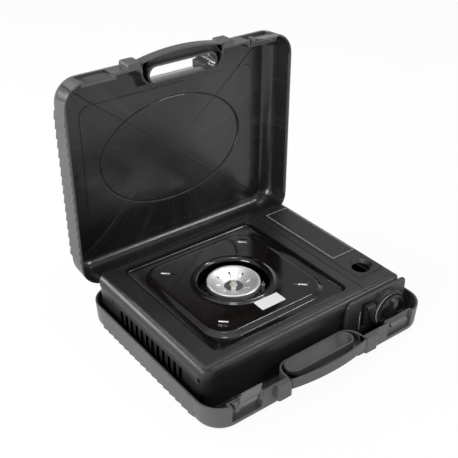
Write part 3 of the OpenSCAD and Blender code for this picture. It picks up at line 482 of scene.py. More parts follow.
@dataclass(frozen=True)
class FlowPlastic(MouldedPlastic):
    """Plastic of the lid: grained outside, and polished inside with marks of the moulding.

    Inside, the colour is painted darker than the same plastic outside, as painted shade; faint flow
    lines fan out from the gate, four thin seams run to the corners and a groove follows the oval.
    """

    low: Tuple[float, float] = (-0.1845, 0.0415)
    high: Tuple[float, float] = (0.1885, 0.344)
    face_y: float = 0.1932
    centre: Tuple[float, float] = (0.002, 0.1972)
    oval: Tuple[float, float] = (0.123, 0.082)
    groove: float = 0.018
    rays: float = 9.0
    polish: float = 0.2
    # Share of the plastic's colour kept on the inner faces: painted shade.
    inside_painted_shade: float = 0.22
    seam: float = 0.0011
    seam_height: float = 0.0005
    gate: float = 0.0024
    wander: float = 0.006

    def inside(self, x: Sock, y: Sock, z: Sock) -> Sock:
        """One on the inner faces of the open lid.

        Args:
            x: object coordinate across.
            y: object coordinate through.
            z: object coordinate upwards.

        Returns:
            The mask.
        """
        between = (x > self.low[0]) * (x < self.high[0]) * (z > self.low[1]) * (z < self.high[1])
        return between * (y < self.face_y)

    def flow(self, nodes: Nodes, across: Sock, up: Sock, y: Sock) -> Sock:
        """Flow lines that fan out from the gate, as extra brightness.

        Args:
            nodes: the material's tree.
            across: distance from the gate, across.
            up: distance from the gate, upwards.
            y: object coordinate through.

        Returns:
            The brightness.
        """
        turn = nodes.out("ShaderNodeMath", {"operation": "ARCTAN2"}, {0: up, 1: across})
        reach = nodes.length(nodes.vector(across, 0.0, up))
        fan = nodes.noise(nodes.vector(turn * self.rays, reach * 5.0, y * 3.0), 1.0, 3.0, 0.55)
        return nodes.fit(fan, 0.52, 0.72, 0.0, 0.5) * nodes.fit(reach, 0.03, 0.12, 0.0, 1.0)

    def seams(self, nodes: Nodes, across: Sock, up: Sock) -> Sock:
        """Raised seams to the corners, the gate's mark and the groove along the oval.

        Args:
            nodes: the material's tree.
            across: distance from the gate, across.
            up: distance from the gate, upwards.

        Returns:
            The height, between -1 and 1.
        """
        reach = nodes.length(nodes.vector(across, 0.0, up))
        drift = nodes.noise(nodes.vector(across, 0.0, up), 14.0, 2.0, 0.5)
        wave = drift * (2.0 * self.wander) - self.wander
        slant = (self.high[1] - self.low[1]) / (self.high[0] - self.low[0])
        ridges = nodes.fit(reach, self.gate * 0.75, self.gate * 1.25, 1.0, 0.0)
        for side in (slant, -slant):
            off = up - across * side + wave
            line = nodes.fit(off.maths("ABSOLUTE", off, 0.0), 0.0, self.seam, 1.0, 0.0)
            ridges = ridges.maths("MAXIMUM", ridges, line * nodes.fit(reach, 0.02, 0.1, 0.3, 1.0))
        round_oval = nodes.length(nodes.vector(across / self.oval[0], 0.0, up / self.oval[1])) - 1.0
        groove = nodes.fit(
            round_oval.maths("ABSOLUTE", round_oval, 0.0), 0.0, self.groove, 1.0, 0.0
        )
        return ridges - groove * 1.5

    def varied(self, nodes: Nodes) -> Dict[str, Sock]:
        """Grain outside; painted shade, polish, seams, flow lines and pale patches inside.

        Args:
            nodes: the material's tree.

        Returns:
            Socket name and value.
        """
        made = super().varied(nodes)
        where = nodes.place()
        x, y, z = nodes.axes(where)
        inner = self.inside(x, y, z)
        across, up = x - self.centre[0], z - self.centre[1]
        broad = nodes.noise(where + (0.31, 0.0, 0.17), 9.0, 2.0, 0.5)
        pale = nodes.fit(broad, 0.45, 0.7, 0.0, 0.6) + self.flow(nodes, across, up, y)
        # Painted shade: the inner faces get darker copies of the same plastic's colour; random pale
        # patches and the flow lines move it towards the less dark copy.
        dark = self.shade(self.inside_painted_shade)
        light = self.shade(self.inside_painted_shade * 2.4)
        smear = nodes.noise(where, 60.0, 4.0, 0.6)
        gloss = nodes.fit(smear, 0.3, 0.7, self.polish - 0.04, self.polish + 0.06)
        height = self.seams(nodes, across, up) * inner
        made["Base Color"] = nodes.blend(inner, made["Base Color"], nodes.blend(pale, dark, light))
        made["Roughness"] = made["Roughness"] * (1.0 - inner) + gloss * inner
        made["Normal"] = nodes.relief(height, self.seam_height, made["Normal"])
        return made


@dataclass(frozen=True)
class PowderPaint(Finish):
    """Baked powder paint with a faint orange peel."""

    peel: float = 420.0
    depth: float = 0.000008

    def varied(self, nodes: Nodes) -> Dict[str, Sock]:
        """Orange peel, dust-fine speckle and uneven gloss.

        Args:
            nodes: the material's tree.

        Returns:
            Socket name and value.
        """
        where = nodes.place()
        fleck = nodes.noise(where, 2600.0, 1.0)
        haze = nodes.noise(where, 22.0, 3.0, 0.6)
        return {
            "Base Color": nodes.blend(
                nodes.fit(fleck, 0.55, 0.8, 0.0, 1.0), self.colour, self.shade(1.9)
            ),
            "Roughness": nodes.fit(haze, 0.3, 0.7, self.roughness - 0.05, self.roughness + 0.05),
            "Normal": nodes.relief(nodes.noise(where, self.peel, 2.0, 0.4), self.depth),
        }


@dataclass(frozen=True)
class GlassEnamel(Finish):
    """Fired glass enamel: glossy, slightly wavy, with rare pale specks."""

    wave: float = 60.0
    depth: float = 0.00005

    def varied(self, nodes: Nodes) -> Dict[str, Sock]:
        """Specks, a warm cloud in the colour and a soft wave.

        Args:
            nodes: the material's tree.

        Returns:
            Socket name and value.
        """
        where = nodes.place()
        cloud = nodes.fit(nodes.noise(where, 18.0, 3.0, 0.6), 0.35, 0.7, 0.0, 1.0)
        speck = (nodes.cells(where, 380.0) < 0.10) * (nodes.noise(where, 120.0, 1.0) > 0.6)
        body = nodes.blend(cloud, self.shade(0.8), self.shade(1.35))
        return {
            "Base Color": nodes.blend(speck, body, (0.16, 0.14, 0.13)),
            "Roughness": nodes.fit(nodes.noise(where, 240.0, 3.0), 0.3, 0.7, 0.07, 0.17),
            "Normal": nodes.relief(nodes.noise(where, self.wave, 2.0, 0.4), self.depth),
        }


@dataclass(frozen=True)
class WorkedMetal(Finish):
    """Bare or plated metal whose marks follow the way it was worked."""

    grain: Grain = Grain.PLATED
    axis: Tuple[float, float] = (0.0, 0.0)
    depth: float = 0.00003

    def marks(self, nodes: Nodes, where: Sock) -> Sock:
        """The working marks, between 0 and 1.

        Args:
            nodes: the material's tree.
            where: object coordinates.

        Returns:
            The marks.
        """
        if self.grain is Grain.CAST:
            return nodes.noise(where, 900.0, 3.0, 0.7)
        if self.grain is Grain.DRAWN:
            return nodes.noise(where * (60.0, 1600.0, 1600.0), 1.0, 2.0, 0.6)
        if self.grain is Grain.SPUN:
            x, y, _z = nodes.axes(where)
            reach = nodes.length(nodes.vector(x - self.axis[0], y - self.axis[1], 0.0))
            ring = nodes.noise(nodes.vector(reach * 2200.0, 0.0, 0.0), 1.0, 2.0, 0.6)
            return ring * 0.45 + nodes.noise(where, 1500.0, 3.0, 0.75) * 0.55
        return nodes.noise(where, 420.0, 3.0, 0.6)

    def varied(self, nodes: Nodes) -> Dict[str, Sock]:
        """Marks in the gloss and relief, with light and dark patches.

        Args:
            nodes: the material's tree.

        Returns:
            Socket name and value.
        """
        where = nodes.place()
        marks = self.marks(nodes, where)
        stain = nodes.fit(nodes.noise(where, 70.0, 3.0, 0.6), 0.3, 0.7, 0.0, 1.0)
        share = nodes.fit(stain * 0.5 + marks * 0.5, 0.3, 0.7, 0.0, 1.0)
        return {
            "Base Color": nodes.blend(share, self.shade(0.86), self.shade(1.06)),
            "Roughness": nodes.fit(marks, 0.25, 0.75, self.roughness * 0.8, self.roughness * 1.2),
            "Normal": nodes.relief(marks, self.depth),
        }


@dataclass(frozen=True)
class Ink(Finish):
    """Screen-printed ink, thinner in places."""

    def varied(self, nodes: Nodes) -> Dict[str, Sock]:
        """Uneven cover.

        Args:
            nodes: the material's tree.

        Returns:
            Socket name and value.
        """
        thin = nodes.noise(nodes.place(), 500.0, 3.0, 0.6)
        return {"Base Color": nodes.blend(thin, self.shade(1.05), self.shade(0.85))}


PART_FINISH: Dict[Slot, Finish] = {
    Slot.CASE: MouldedPlastic("case_plastic", (0.066, 0.0662, 0.067), 0.42),
    Slot.LATCH: MouldedPlastic("latch_plastic", (0.075, 0.0755, 0.0765), 0.36, mottle=0.08),
    Slot.BRIGHT_STEEL: WorkedMetal(
        "bright_steel", (0.66, 0.66, 0.65), 0.28, 1.0, grain=Grain.DRAWN
    ),
    Slot.ZINC: WorkedMetal("zinc_steel", (0.42, 0.43, 0.44), 0.42, 1.0),
    Slot.PAINT: PowderPaint("black_paint", (0.0105, 0.0106, 0.0115), 0.38),
    Slot.ENAMEL: GlassEnamel("enamel", (0.0048, 0.0034, 0.003), 0.12, 0.0, 0.5, depth=0.00002),
    Slot.CAST: WorkedMetal("cast_aluminium", (0.6, 0.6, 0.61), 0.5, 1.0, grain=Grain.CAST),
    Slot.CAP: WorkedMetal(
        "bright_aluminium", (0.88, 0.88, 0.885), 0.42, 0.8, grain=Grain.SPUN, axis=(-0.028, 0.002)
    ),
    Slot.DARK_STEEL: WorkedMetal(
        "dark_steel", (0.16, 0.16, 0.165), 0.55, 1.0, grain=Grain.CAST, depth=0.00012
    ),
    Slot.BRASS: WorkedMetal("brass", (0.62, 0.46, 0.2), 0.3, 1.0, grain=Grain.DRAWN),
    Slot.CERAMIC: MouldedPlastic("ceramic", (0.8, 0.79, 0.74), 0.18, mottle=0.03),
    Slot.SLEEVE: MouldedPlastic("white_rubber", (0.68, 0.68, 0.64), 0.5, mottle=0.05),
    Slot.WHITE: MouldedPlastic("white_plastic", (0.62, 0.6, 0.55), 0.35, mottle=0.04),
    Slot.RUBBER: MouldedPlastic("rubber", (0.02, 0.02, 0.02), 0.7, depth=0.00006),
    Slot.PANEL: MouldedPlastic("panel_plastic", (0.022, 0.0222, 0.023), 0.4, mottle=0.08),
    Slot.DIAL: WorkedMetal("dial_metal", (0.03, 0.03, 0.031), 0.3, 0.3),
    Slot.KNOB: MouldedPlastic("knob_plastic", (0.012, 0.012, 0.0125), 0.26, mottle=0.06),
}
LID_FACE = FlowPlastic("lid_plastic", (0.066, 0.0662, 0.067), 0.42)
PLATED_BRASS = WorkedMetal("plated_brass", (0.84, 0.8, 0.7), 0.42, 0.7, grain=Grain.DRAWN)
BRIDGE_STEEL = WorkedMetal("bridge_steel", (0.86, 0.86, 0.85), 0.42, 0.6, grain=Grain.DRAWN)
# Painted highlight: pale metal for the tops of the prongs' tabs.
TAB_HIGHLIGHT = WorkedMetal("tab_steel", (0.7, 0.69, 0.68), 0.35, 0.9)
WHITE_INK = Ink("white_ink", (0.72, 0.72, 0.7), 0.5)
SILVER_INK = Ink("silver_ink", (0.5, 0.5, 0.5), 0.4)
PAPER = Ink("sticker_paper", (0.82, 0.83, 0.85), 0.6)


# Making meshes


def as_object(
    name: str, mesh: bpy.types.Mesh, finish: Optional[Finish] = None
) -> bpy.types.Object:
    """Links a mesh to the scene.

    Args:
        name: the piece's name.
        mesh: its mesh.
        finish: its finish.

    Returns:
        The object, at the origin.
    """
    made = bpy.data.objects.new(name, mesh)
    bpy.context.scene.collection.objects.link(made)
    if finish is not None:
        mesh.materials.clear()
        mesh.materials.append(finish.material())
    return made


def from_bmesh(
    name: str, shape: bmesh.types.BMesh, finish: Optional[Finish] = None, sharp: float = 50.0
) -> bpy.types.Object:
    """Turns a bmesh into a smooth-shaded piece.

    Args:
        name: the piece's name.
        shape: the bmesh, which is freed.
        finish: its finish.
        sharp: angle in degrees above which an edge stays sharp.

    Returns:
        The object.
    """
    mesh = bpy.data.meshes.new(name)
    shape.to_mesh(mesh)
    shape.free()
    mesh.shade_smooth()
    mesh.set_sharp_from_angle(angle=math.radians(sharp))
    return as_object(name, mesh, finish)


def settled(piece: bpy.types.Object) -> bpy.types.Object:
    """Turns a piece with modifiers into a plain mesh.

    Args:
        piece: the piece.

    Returns:
        The same object with the result as its mesh and no modifiers.
    """
    bpy.context.view_layer.update()
    evaluated = piece.evaluated_get(bpy.context.evaluated_depsgraph_get())
    mesh = bpy.data.meshes.new_from_object(evaluated)
    piece.modifiers.clear()
    old = piece.data
    piece.data = mesh
    bpy.data.meshes.remove(old)
    mesh.name = piece.name
    return piece


def rides(
    piece: bpy.types.Object, body: str, replaced: Sequence[str] = ()
) -> bpy.types.Object:
    """Puts a piece on its body and hides the CAD nodes that it stands for.

    Args:
        piece: the piece.
        body: the CAD body that it moves with.
        replaced: the CAD nodes that it stands for.

    Returns:
        The piece.
    """
    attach(piece, body)
    if replaced:
        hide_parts(*replaced)
    LOG.info("%s rides on %s", piece.name, body)
    return piece


@dataclass
class SoftCopy:
    """A merged copy of a CAD node whose sharp edges are rounded and whose curves shade smoothly."""

    node: str
    slot: Slot
    bevel: float = 0.3
    sharp: float = 33.0
    steps: int = 2
    finish: Optional[Finish] = None
    swell: float = 1.004

    def merged(self) -> bmesh.types.BMesh:
        """The node's mesh with its flat faces cleaned up.

        Returns:
            The bmesh.
        """
        shape = bmesh.new()
        shape.from_mesh(frame["nodes"][self.node].data)
        bmesh.ops.remove_doubles(shape, verts=shape.verts, dist=2e-6)
        bmesh.ops.dissolve_limit(
            shape, angle_limit=math.radians(0.5), verts=shape.verts, edges=shape.edges
        )
        bmesh.ops.triangulate(shape, faces=[f for f in shape.faces if len(f.verts) > 4])
        return shape

    def rounded(self) -> bmesh.types.BMesh:
        """The mesh with its sharp edges rounded; the width is halved while faces fold over.

        Returns:
            The bmesh.
        """
        width = self.bevel
        while width > 0.04:
            shape = self.merged()
            before = sum(f.calc_area() for f in shape.faces)
            limit = math.radians(self.sharp)
            bmesh.ops.bevel(
                shape,
                geom=[
                    e
                    for e in shape.edges
                    if len(e.link_faces) == 2 and e.calc_face_angle(0.0) > limit
                ],
                offset=width * MM,
                offset_type="OFFSET",
                segments=self.steps,
                profile=0.5,
                affect="EDGES",
                clamp_overlap=False,
            )
            if sum(f.calc_area() for f in shape.faces) < before * self.swell:
                return shape
            LOG.info("%s: edges of %.2f mm fold over", self.node, width)
            shape.free()
            width /= 2
        return self.merged()

    def build(self) -> bpy.types.Object:
        """Makes the copy and lets it stand for the node.

        Returns:
            The piece.
        """
        finish = self.finish or PART_FINISH[self.slot]
        rounded = self.bevel > 0
        shape = self.rounded() if rounded else self.merged()
        piece = from_bmesh(self.node + "_skin", shape, finish, 50.0 if rounded else 33.0)
        weigh = piece.modifiers.new("weigh", "WEIGHTED_NORMAL")
        weigh.keep_sharp = True
        settled(piece)
        return rides(piece, frame["nodes"][self.node]["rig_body"], [self.node])


def loop_of_square(half: float, radius: float, corner: int, side: int) -> List[Vector]:
    """Points round a rounded square, centred, counter-clockwise.

    Args:
        half: half of its side.
        radius: radius of its corners.
        corner: steps in each corner.
        side: steps along each straight side.

    Returns:
        The points.
    """
    points: List[Vector] = []
    for quarter in range(4):
        turn = Matrix.Rotation(quarter * math.pi / 2, 2)
        for i in range(corner + 1):
            a = math.pi / 2 * i / corner
            x = half - radius + radius * math.cos(a)
            y = half - radius + radius * math.sin(a)
            points.append(turn @ Vector((x, y)))
        for i in range(1, side):
            x = (half - radius) * (1 - 2 * i / side)
            points.append(turn @ Vector((x, half)))
    return points


def skin_rings(
    name: str, rings: Sequence[Sequence[Vector]], finish: Finish, sharp: float = 40.0
) -> bpy.types.Object:
    """Joins rings of points into a closed skin; the last ring joins the first.

    Args:
        name: the piece's name.
        rings: rings with the same number of points.
        finish: its finish.
        sharp: angle above which an edge stays sharp.

    Returns:
        The piece.
    """
    shape = bmesh.new()
    rows = [[shape.verts.new(p) for p in ring] for ring in rings]
    count = len(rows[0])
    for i, row in enumerate(rows):
        following = rows[(i + 1) % len(rows)]
        for k in range(count):
            n = (k + 1) % count
            shape.faces.new((row[k], following[k], following[n], row[n]))
    bmesh.ops.recalc_face_normals(shape, faces=shape.faces)
    return from_bmesh(name, shape, finish, sharp)


def slab(
    name: str, outline: Sequence[Vector], lift: Vector, finish: Finish, bevel: float = 0.0
) -> bpy.types.Object:
    """A flat outline raised along a vector, with its edges rounded if asked.

    Args:
        name: the piece's name.
        outline: corner points in the frame, in metres.
        lift: how far and which way it is raised.
        finish: its finish.
        bevel: radius of its edges, in metres.

    Returns:
        The piece.
    """
    shape = bmesh.new()
    low = [shape.verts.new(p) for p in outline]
    high = [shape.verts.new(Vector(p) + lift) for p in outline]
    shape.faces.new(low)
    shape.faces.new(high)
    for i in range(len(low)):
        n = (i + 1) % len(low)
        shape.faces.new((low[i], low[n], high[n], high[i]))
    bmesh.ops.recalc_face_normals(shape, faces=shape.faces)
    if bevel > 0:
        sharp = [e for e in shape.edges if e.calc_face_angle(0.0) > math.radians(33)]
        bmesh.ops.bevel(
            shape, geom=sharp, offset=bevel, segments=2, profile=0.5, affect="EDGES"
        )
    return from_bmesh(name, shape, finish, 50.0)


# Geometry Nodes


class Repeater:
    """A Geometry Nodes tree with named inputs, run once on a carrier object."""

    def __init__(self, name: str, inputs: Sequence[Tuple[str, str]]) -> None:
        """Makes the tree and its interface.

        Args:
            name: the tree's name.
            inputs: names and socket types of the inputs after the geometry.
        """
        self.tree = bpy.data.node_groups.new(name, "GeometryNodeTree")
        face = self.tree.interface
        face.new_socket(name="Geometry", in_out="INPUT", socket_type="NodeSocketGeometry")
        for label, kind in inputs:
            face.new_socket(name=label, in_out="INPUT", socket_type=kind)
        face.new_socket(name="Geometry", in_out="OUTPUT", socket_type="NodeSocketGeometry")
        self.nodes = Nodes(self.tree)
        self.entry = self.nodes.node("NodeGroupInput")

    def given(self, label: str) -> Sock:
        """One of the tree's inputs.

        Args:
            label: the input's name.

        Returns:
            The input.
        """
        return Sock(self.nodes, self.entry.outputs[label])

    def close(self, geometry: Sock) -> None:
        """Ends the tree: instances become real and the material is set.

        Args:
            geometry: what the tree has made.
        """
        real = self.nodes.out("GeometryNodeRealizeInstances", None, {0: geometry})
        dressed = self.nodes.out(
            "GeometryNodeSetMaterial", None, {"Geometry": real, "Material": self.given("Material")}
        )
        self.nodes.node("NodeGroupOutput", None, {0: dressed})

    def run(self, name: str, carrier: bpy.types.Mesh, values: Dict[str, Any]) -> bpy.types.Object:
        """Runs the tree and keeps the result as a plain mesh.

        Args:
            name: the piece's name.
            carrier: the mesh that the tree starts from.
            values: values of the inputs, by name.

        Returns:
            The piece.
        """
        piece = as_object(name, carrier)
        modifier = piece.modifiers.new("repeat", "NODES")
        modifier.node_group = self.tree
        for item in self.tree.interface.items_tree:
            if item.in_out == "INPUT" and item.name in values:
                modifier[item.identifier] = values[item.name]
        settled(piece)
        piece.data.set_sharp_from_angle(angle=math.radians(40))
        return piece


class Scatter(Repeater):
    """Sets one small shape on every point of the carrier, standing on the point's facing."""

    def __init__(self) -> None:
        """Builds the tree."""
        super().__init__(
            "scatter_on_points",
            [
                ("Shape", "NodeSocketObject"),
                ("Size", "NodeSocketFloat"),
                ("Material", "NodeSocketMaterial"),
            ],
        )
        nodes = self.nodes
        shape = nodes.out(
            "GeometryNodeObjectInfo", None, {"Object": self.given("Shape")}, "Geometry"
        )
        facing = nodes.out(
            "GeometryNodeInputNamedAttribute",
            {"data_type": "FLOAT_VECTOR"},
            {"Name": "facing"},
            "Attribute",
        )
        turned = nodes.out("FunctionNodeAlignRotationToVector", {"axis": "Z"}, {"Vector": facing})
        placed = nodes.out(
            "GeometryNodeInstanceOnPoints",
            None,
            {
                "Points": self.given("Geometry"),
                "Instance": shape,
                "Rotation": turned,
                "Scale": nodes.vector(*[self.given("Size")] * 3),
            },
        )
        self.close(placed)

    def on(
        self,
        name: str,
        points: Sequence[Tuple[Point, Point]],
        shape: bpy.types.Object,
        finish: Finish,
        size: float = 1.0,
    ) -> bpy.types.Object:
        """Scatters a shape and throws the pattern piece away.

        Args:
            name: the piece's name.
            points: place and facing of each copy.
            shape: what is repeated, round its own origin with +Z up.
            finish: its finish.
            size: scale of each copy.

        Returns:
            The piece.
        """
        carrier = bpy.data.meshes.new(name)
        carrier.from_pydata([p for p, _ in points], [], [])
        facing = carrier.attributes.new("facing", "FLOAT_VECTOR", "POINT")
        facing.data.foreach_set("vector", [c for _, n in points for c in n])
        made = self.run(
            name, carrier, {"Shape": shape, "Size": size, "Material": finish.material()}
        )
        bpy.data.objects.remove(shape)
        return made


class Row(Repeater):
    """Sets one shape in a straight row."""

    def __init__(self) -> None:
        """Builds the tree."""
        super().__init__(
            "straight_row",
            [
                ("Shape", "NodeSocketObject"),
                ("Count", "NodeSocketInt"),
                ("Start", "NodeSocketVector"),
                ("Step", "NodeSocketVector"),
                ("Material", "NodeSocketMaterial"),
            ],
        )
        nodes = self.nodes
        shape = nodes.out(
            "GeometryNodeObjectInfo", None, {"Object": self.given("Shape")}, "Geometry"
        )
        line = nodes.out(
            "GeometryNodeMeshLine",
            {"mode": "OFFSET"},
            {
                "Count": self.given("Count"),
                "Start Location": self.given("Start"),
                "Offset": self.given("Step"),
            },
        )
        self.close(
            nodes.out("GeometryNodeInstanceOnPoints", None, {"Points": line, "Instance": shape})
        )

    def along(
        self,
        name: str,
        start: Point,
        step: Point,
        count: int,
        shape: bpy.types.Object,
        finish: Finish,
    ) -> bpy.types.Object:
        """Makes a row and throws the pattern piece away.

        Args:
            name: the piece's name.
            start: place of the first copy.
            step: from one copy to the next.
            count: number of copies.
            shape: what is repeated, round its own origin.
            finish: its finish.

        Returns:
            The piece.
        """
        made = self.run(
            name,
            bpy.data.meshes.new(name),
            {
                "Shape": shape,
                "Count": count,
                "Start": start,
                "Step": step,
                "Material": finish.material(),
            },
        )
        bpy.data.objects.remove(shape)
        return made


# Small shapes, each round its own origin with +Z outwards


def recessed_screw(radius: float, height: float) -> bpy.types.Object:
    """A pan-head screw with a cross recess.

    Args:
        radius: radius of the head.
        height: height of the head.

    Returns:
        The pattern piece.
    """
    shape = bmesh.new()
    profile = [(1.0, 0.0), (1.0, 0.45), (0.93, 0.7), (0.78, 0.9), (0.5, 1.0)]
    rings = []
    for r, z in profile:
        rings.append(
            [
                shape.verts.new(
                    (
                        radius * r * math.cos(math.tau * k / 24),
                        radius * r * math.sin(math.tau * k / 24),
                        height * z,
                    )
                )
                for k in range(24)
            ]
        )
    for low, high in zip(rings, rings[1:]):
        for k in range(24):
            n = (k + 1) % 24
            shape.faces.new((low[k], low[n], high[n], high[k]))
    shape.faces.new(rings[-1])
    shape.faces.new(list(reversed(rings[0])))
    head = from_bmesh("screw_head", shape)
    for turn in (0.0, math.pi / 2):
        cutter = bmesh.new()
        bmesh.ops.create_cube(cutter, size=1.0)
        size = Matrix.Diagonal((radius * 1.15, radius * 0.3, height, 1.0))
        bmesh.ops.transform(
            cutter,
            matrix=Matrix.Translation((0, 0, height)) @ Matrix.Rotation(turn, 4, "Z") @ size,
            verts=cutter.verts,
        )
        tool = from_bmesh("cutter", cutter)
        cut = head.modifiers.new("cut", "BOOLEAN")
        cut.object = tool
        settled(head)
        bpy.data.objects.remove(tool)
    return head


def dome(radius: float, height: float, sides: int = 20) -> bpy.types.Object:
    """A low round bump.

    Args:
        radius: its radius.
        height: its height.
        sides: facets round it.

    Returns:
        The pattern piece.
    """
    shape = bmesh.new()
    levels = [(math.cos(a), math.sin(a)) for a in (0.0, 0.35, 0.75, 1.15)]
    rings = [
        [
            shape.verts.new(
                (
                    radius * r * math.cos(math.tau * k / sides),
                    radius * r * math.sin(math.tau * k / sides),
                    height * z,
                )
            )
            for k in range(sides)
        ]
        for r, z in levels
    ]
    for low, high in zip(rings, rings[1:]):
        for k in range(sides):
            n = (k + 1) % sides
            shape.faces.new((low[k], low[n], high[n], high[k]))
    shape.faces.new(rings[-1])
    shape.faces.new(list(reversed(rings[0])))
    return from_bmesh("dome", shape, None, 60.0)


# Sub-assemblies


@dataclass
class CarryingCase:
    """The moulded tray and lid with their pins and flap latches."""

    edge: float = 0.4
    pin_edge: float = 0.2

    def build(self) -> None:
        """Dresses the case."""
        SoftCopy("case_tray", Slot.CASE, self.edge).build()
        SoftCopy("case_lid", Slot.CASE, self.edge, finish=LID_FACE).build()
        SoftCopy("tray_latch", Slot.LATCH, 0.4).build()
        SoftCopy("lid_latch", Slot.LATCH, 0.4).build()
        for pin in ("case_hinge_pins", "tray_latch_pin", "lid_latch_pin"):
            SoftCopy(pin, Slot.BRIGHT_STEEL, self.pin_edge).build()


@dataclass
class StoveBody:
    """The sheet-metal body: top, wall, bottom, dish, partition, feet and screws."""

    louvre_first: float = -84.0
    louvre_pitch: float = 13.0
    louvre_width: float = 6.5
    louvre_low: float = 26.0
    louvre_high: float = 50.0
    louvre_count: int = 12
    lip_out: float = 2.2
    lip_over: float = 3.6

    def build(self) -> None:
        """Dresses the body."""
        SoftCopy("top_plate", Slot.PAINT, 0.3).build()
        SoftCopy("body_shell", Slot.PAINT, 0.25).build()
        SoftCopy("base_pan", Slot.ZINC, 0.2).build()
        SoftCopy("burner_well", Slot.PAINT, 0.25).build()
        SoftCopy("partition_plate", Slot.ZINC, 0.2).build()
        SoftCopy("rubber_feet", Slot.RUBBER, 0.6).build()
        self.build_screws()
        self.build_louvres()

    def build_screws(self) -> None:
        """Cross-recessed screws in place of the plain heads."""
        screw = recessed_screw(3.0 * MM, 1.6 * MM)
        made = Scatter().on("cross_screws", self.heads(), screw, PART_FINISH[Slot.PAINT])
        rides(made, "stove", ["shell_screws"])

    def heads(self) -> List[Tuple[Point, Point]]:
        """Places of the screw heads, found as the separate solids of the CAD node.

        Returns:
            The middle of each head's seat and the way it faces.
        """
        shape = bmesh.new()
        shape.from_mesh(frame["nodes"]["shell_screws"].data)
        bmesh.ops.remove_doubles(shape, verts=shape.verts, dist=2e-6)
        found = []
        left = set(shape.verts)
        while left:
            stack = [left.pop()]
            group = [stack[0]]
            while stack:
                for edge in stack.pop().link_edges:
                    for vert in edge.verts:
                        if vert in left:
                            left.remove(vert)
                            stack.append(vert)
                            group.append(vert)
            low = Vector([min(v.co[i] for v in group) for i in range(3)])
            high = Vector([max(v.co[i] for v in group) for i in range(3)])
            middle = (low + high) / 2
            if high.x - low.x < high.y - low.y:
                found.append(((high.x, middle.y, middle.z), (-1.0, 0.0, 0.0)))
            else:
                found.append(((middle.x, low.y, middle.z), (0.0, 1.0, 0.0)))
        shape.free()
        return found

    def build_louvres(self) -> None:
        """Pressed lips beside the louvre slots."""
        low, high = self.louvre_low * MM, self.louvre_high * MM
        lip = self.louvre_lip((high - low) / 2)
        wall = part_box("body_shell")[0][0]
        made = Row().along(
            "louvre_lips",
            (wall, (self.louvre_first + self.louvre_width) * MM, (low + high) / 2),
            (0.0, self.louvre_pitch * MM, 0.0),
            self.louvre_count,
            lip,
            PART_FINISH[Slot.PAINT],
        )
        rides(made, "stove")

    def louvre_lip(self, tall: float) -> bpy.types.Object:
        """One lip: it swells out from the wall and hangs over half of its slot.

        Args:
            tall: half of its height, in metres.

        Returns:
            The pattern piece.
        """
        shape = bmesh.new()
        steps, rows = 10, 14
        grid = []
        for i in range(rows + 1):
            t = -1 + 2 * i / rows
            reach = math.sqrt(max(0.0, 1 - t * t))
            grid.append(
                [
                    shape.verts.new(
                        (
                            -self.lip_out * MM * reach * math.sin(math.pi / 2 * k / steps),
                            -self.lip_over * MM * (1 - math.cos(math.pi / 2 * k / steps)) * reach,
                            t * tall,
                        )
                    )
                    for k in range(steps + 1)
                ]
            )
        for a, b in zip(grid, grid[1:]):
            for k in range(steps):
                shape.faces.new((a[k], a[k + 1], b[k + 1], b[k]))
        bmesh.ops.remove_doubles(shape, verts=shape.verts, dist=1e-6)
        lip = from_bmesh("louvre_lip", shape, None, 60.0)
        thick = lip.modifiers.new("thick", "SOLIDIFY")
        thick.thickness = 0.6 * MM
        thick.offset = 0.0
        return settled(lip)


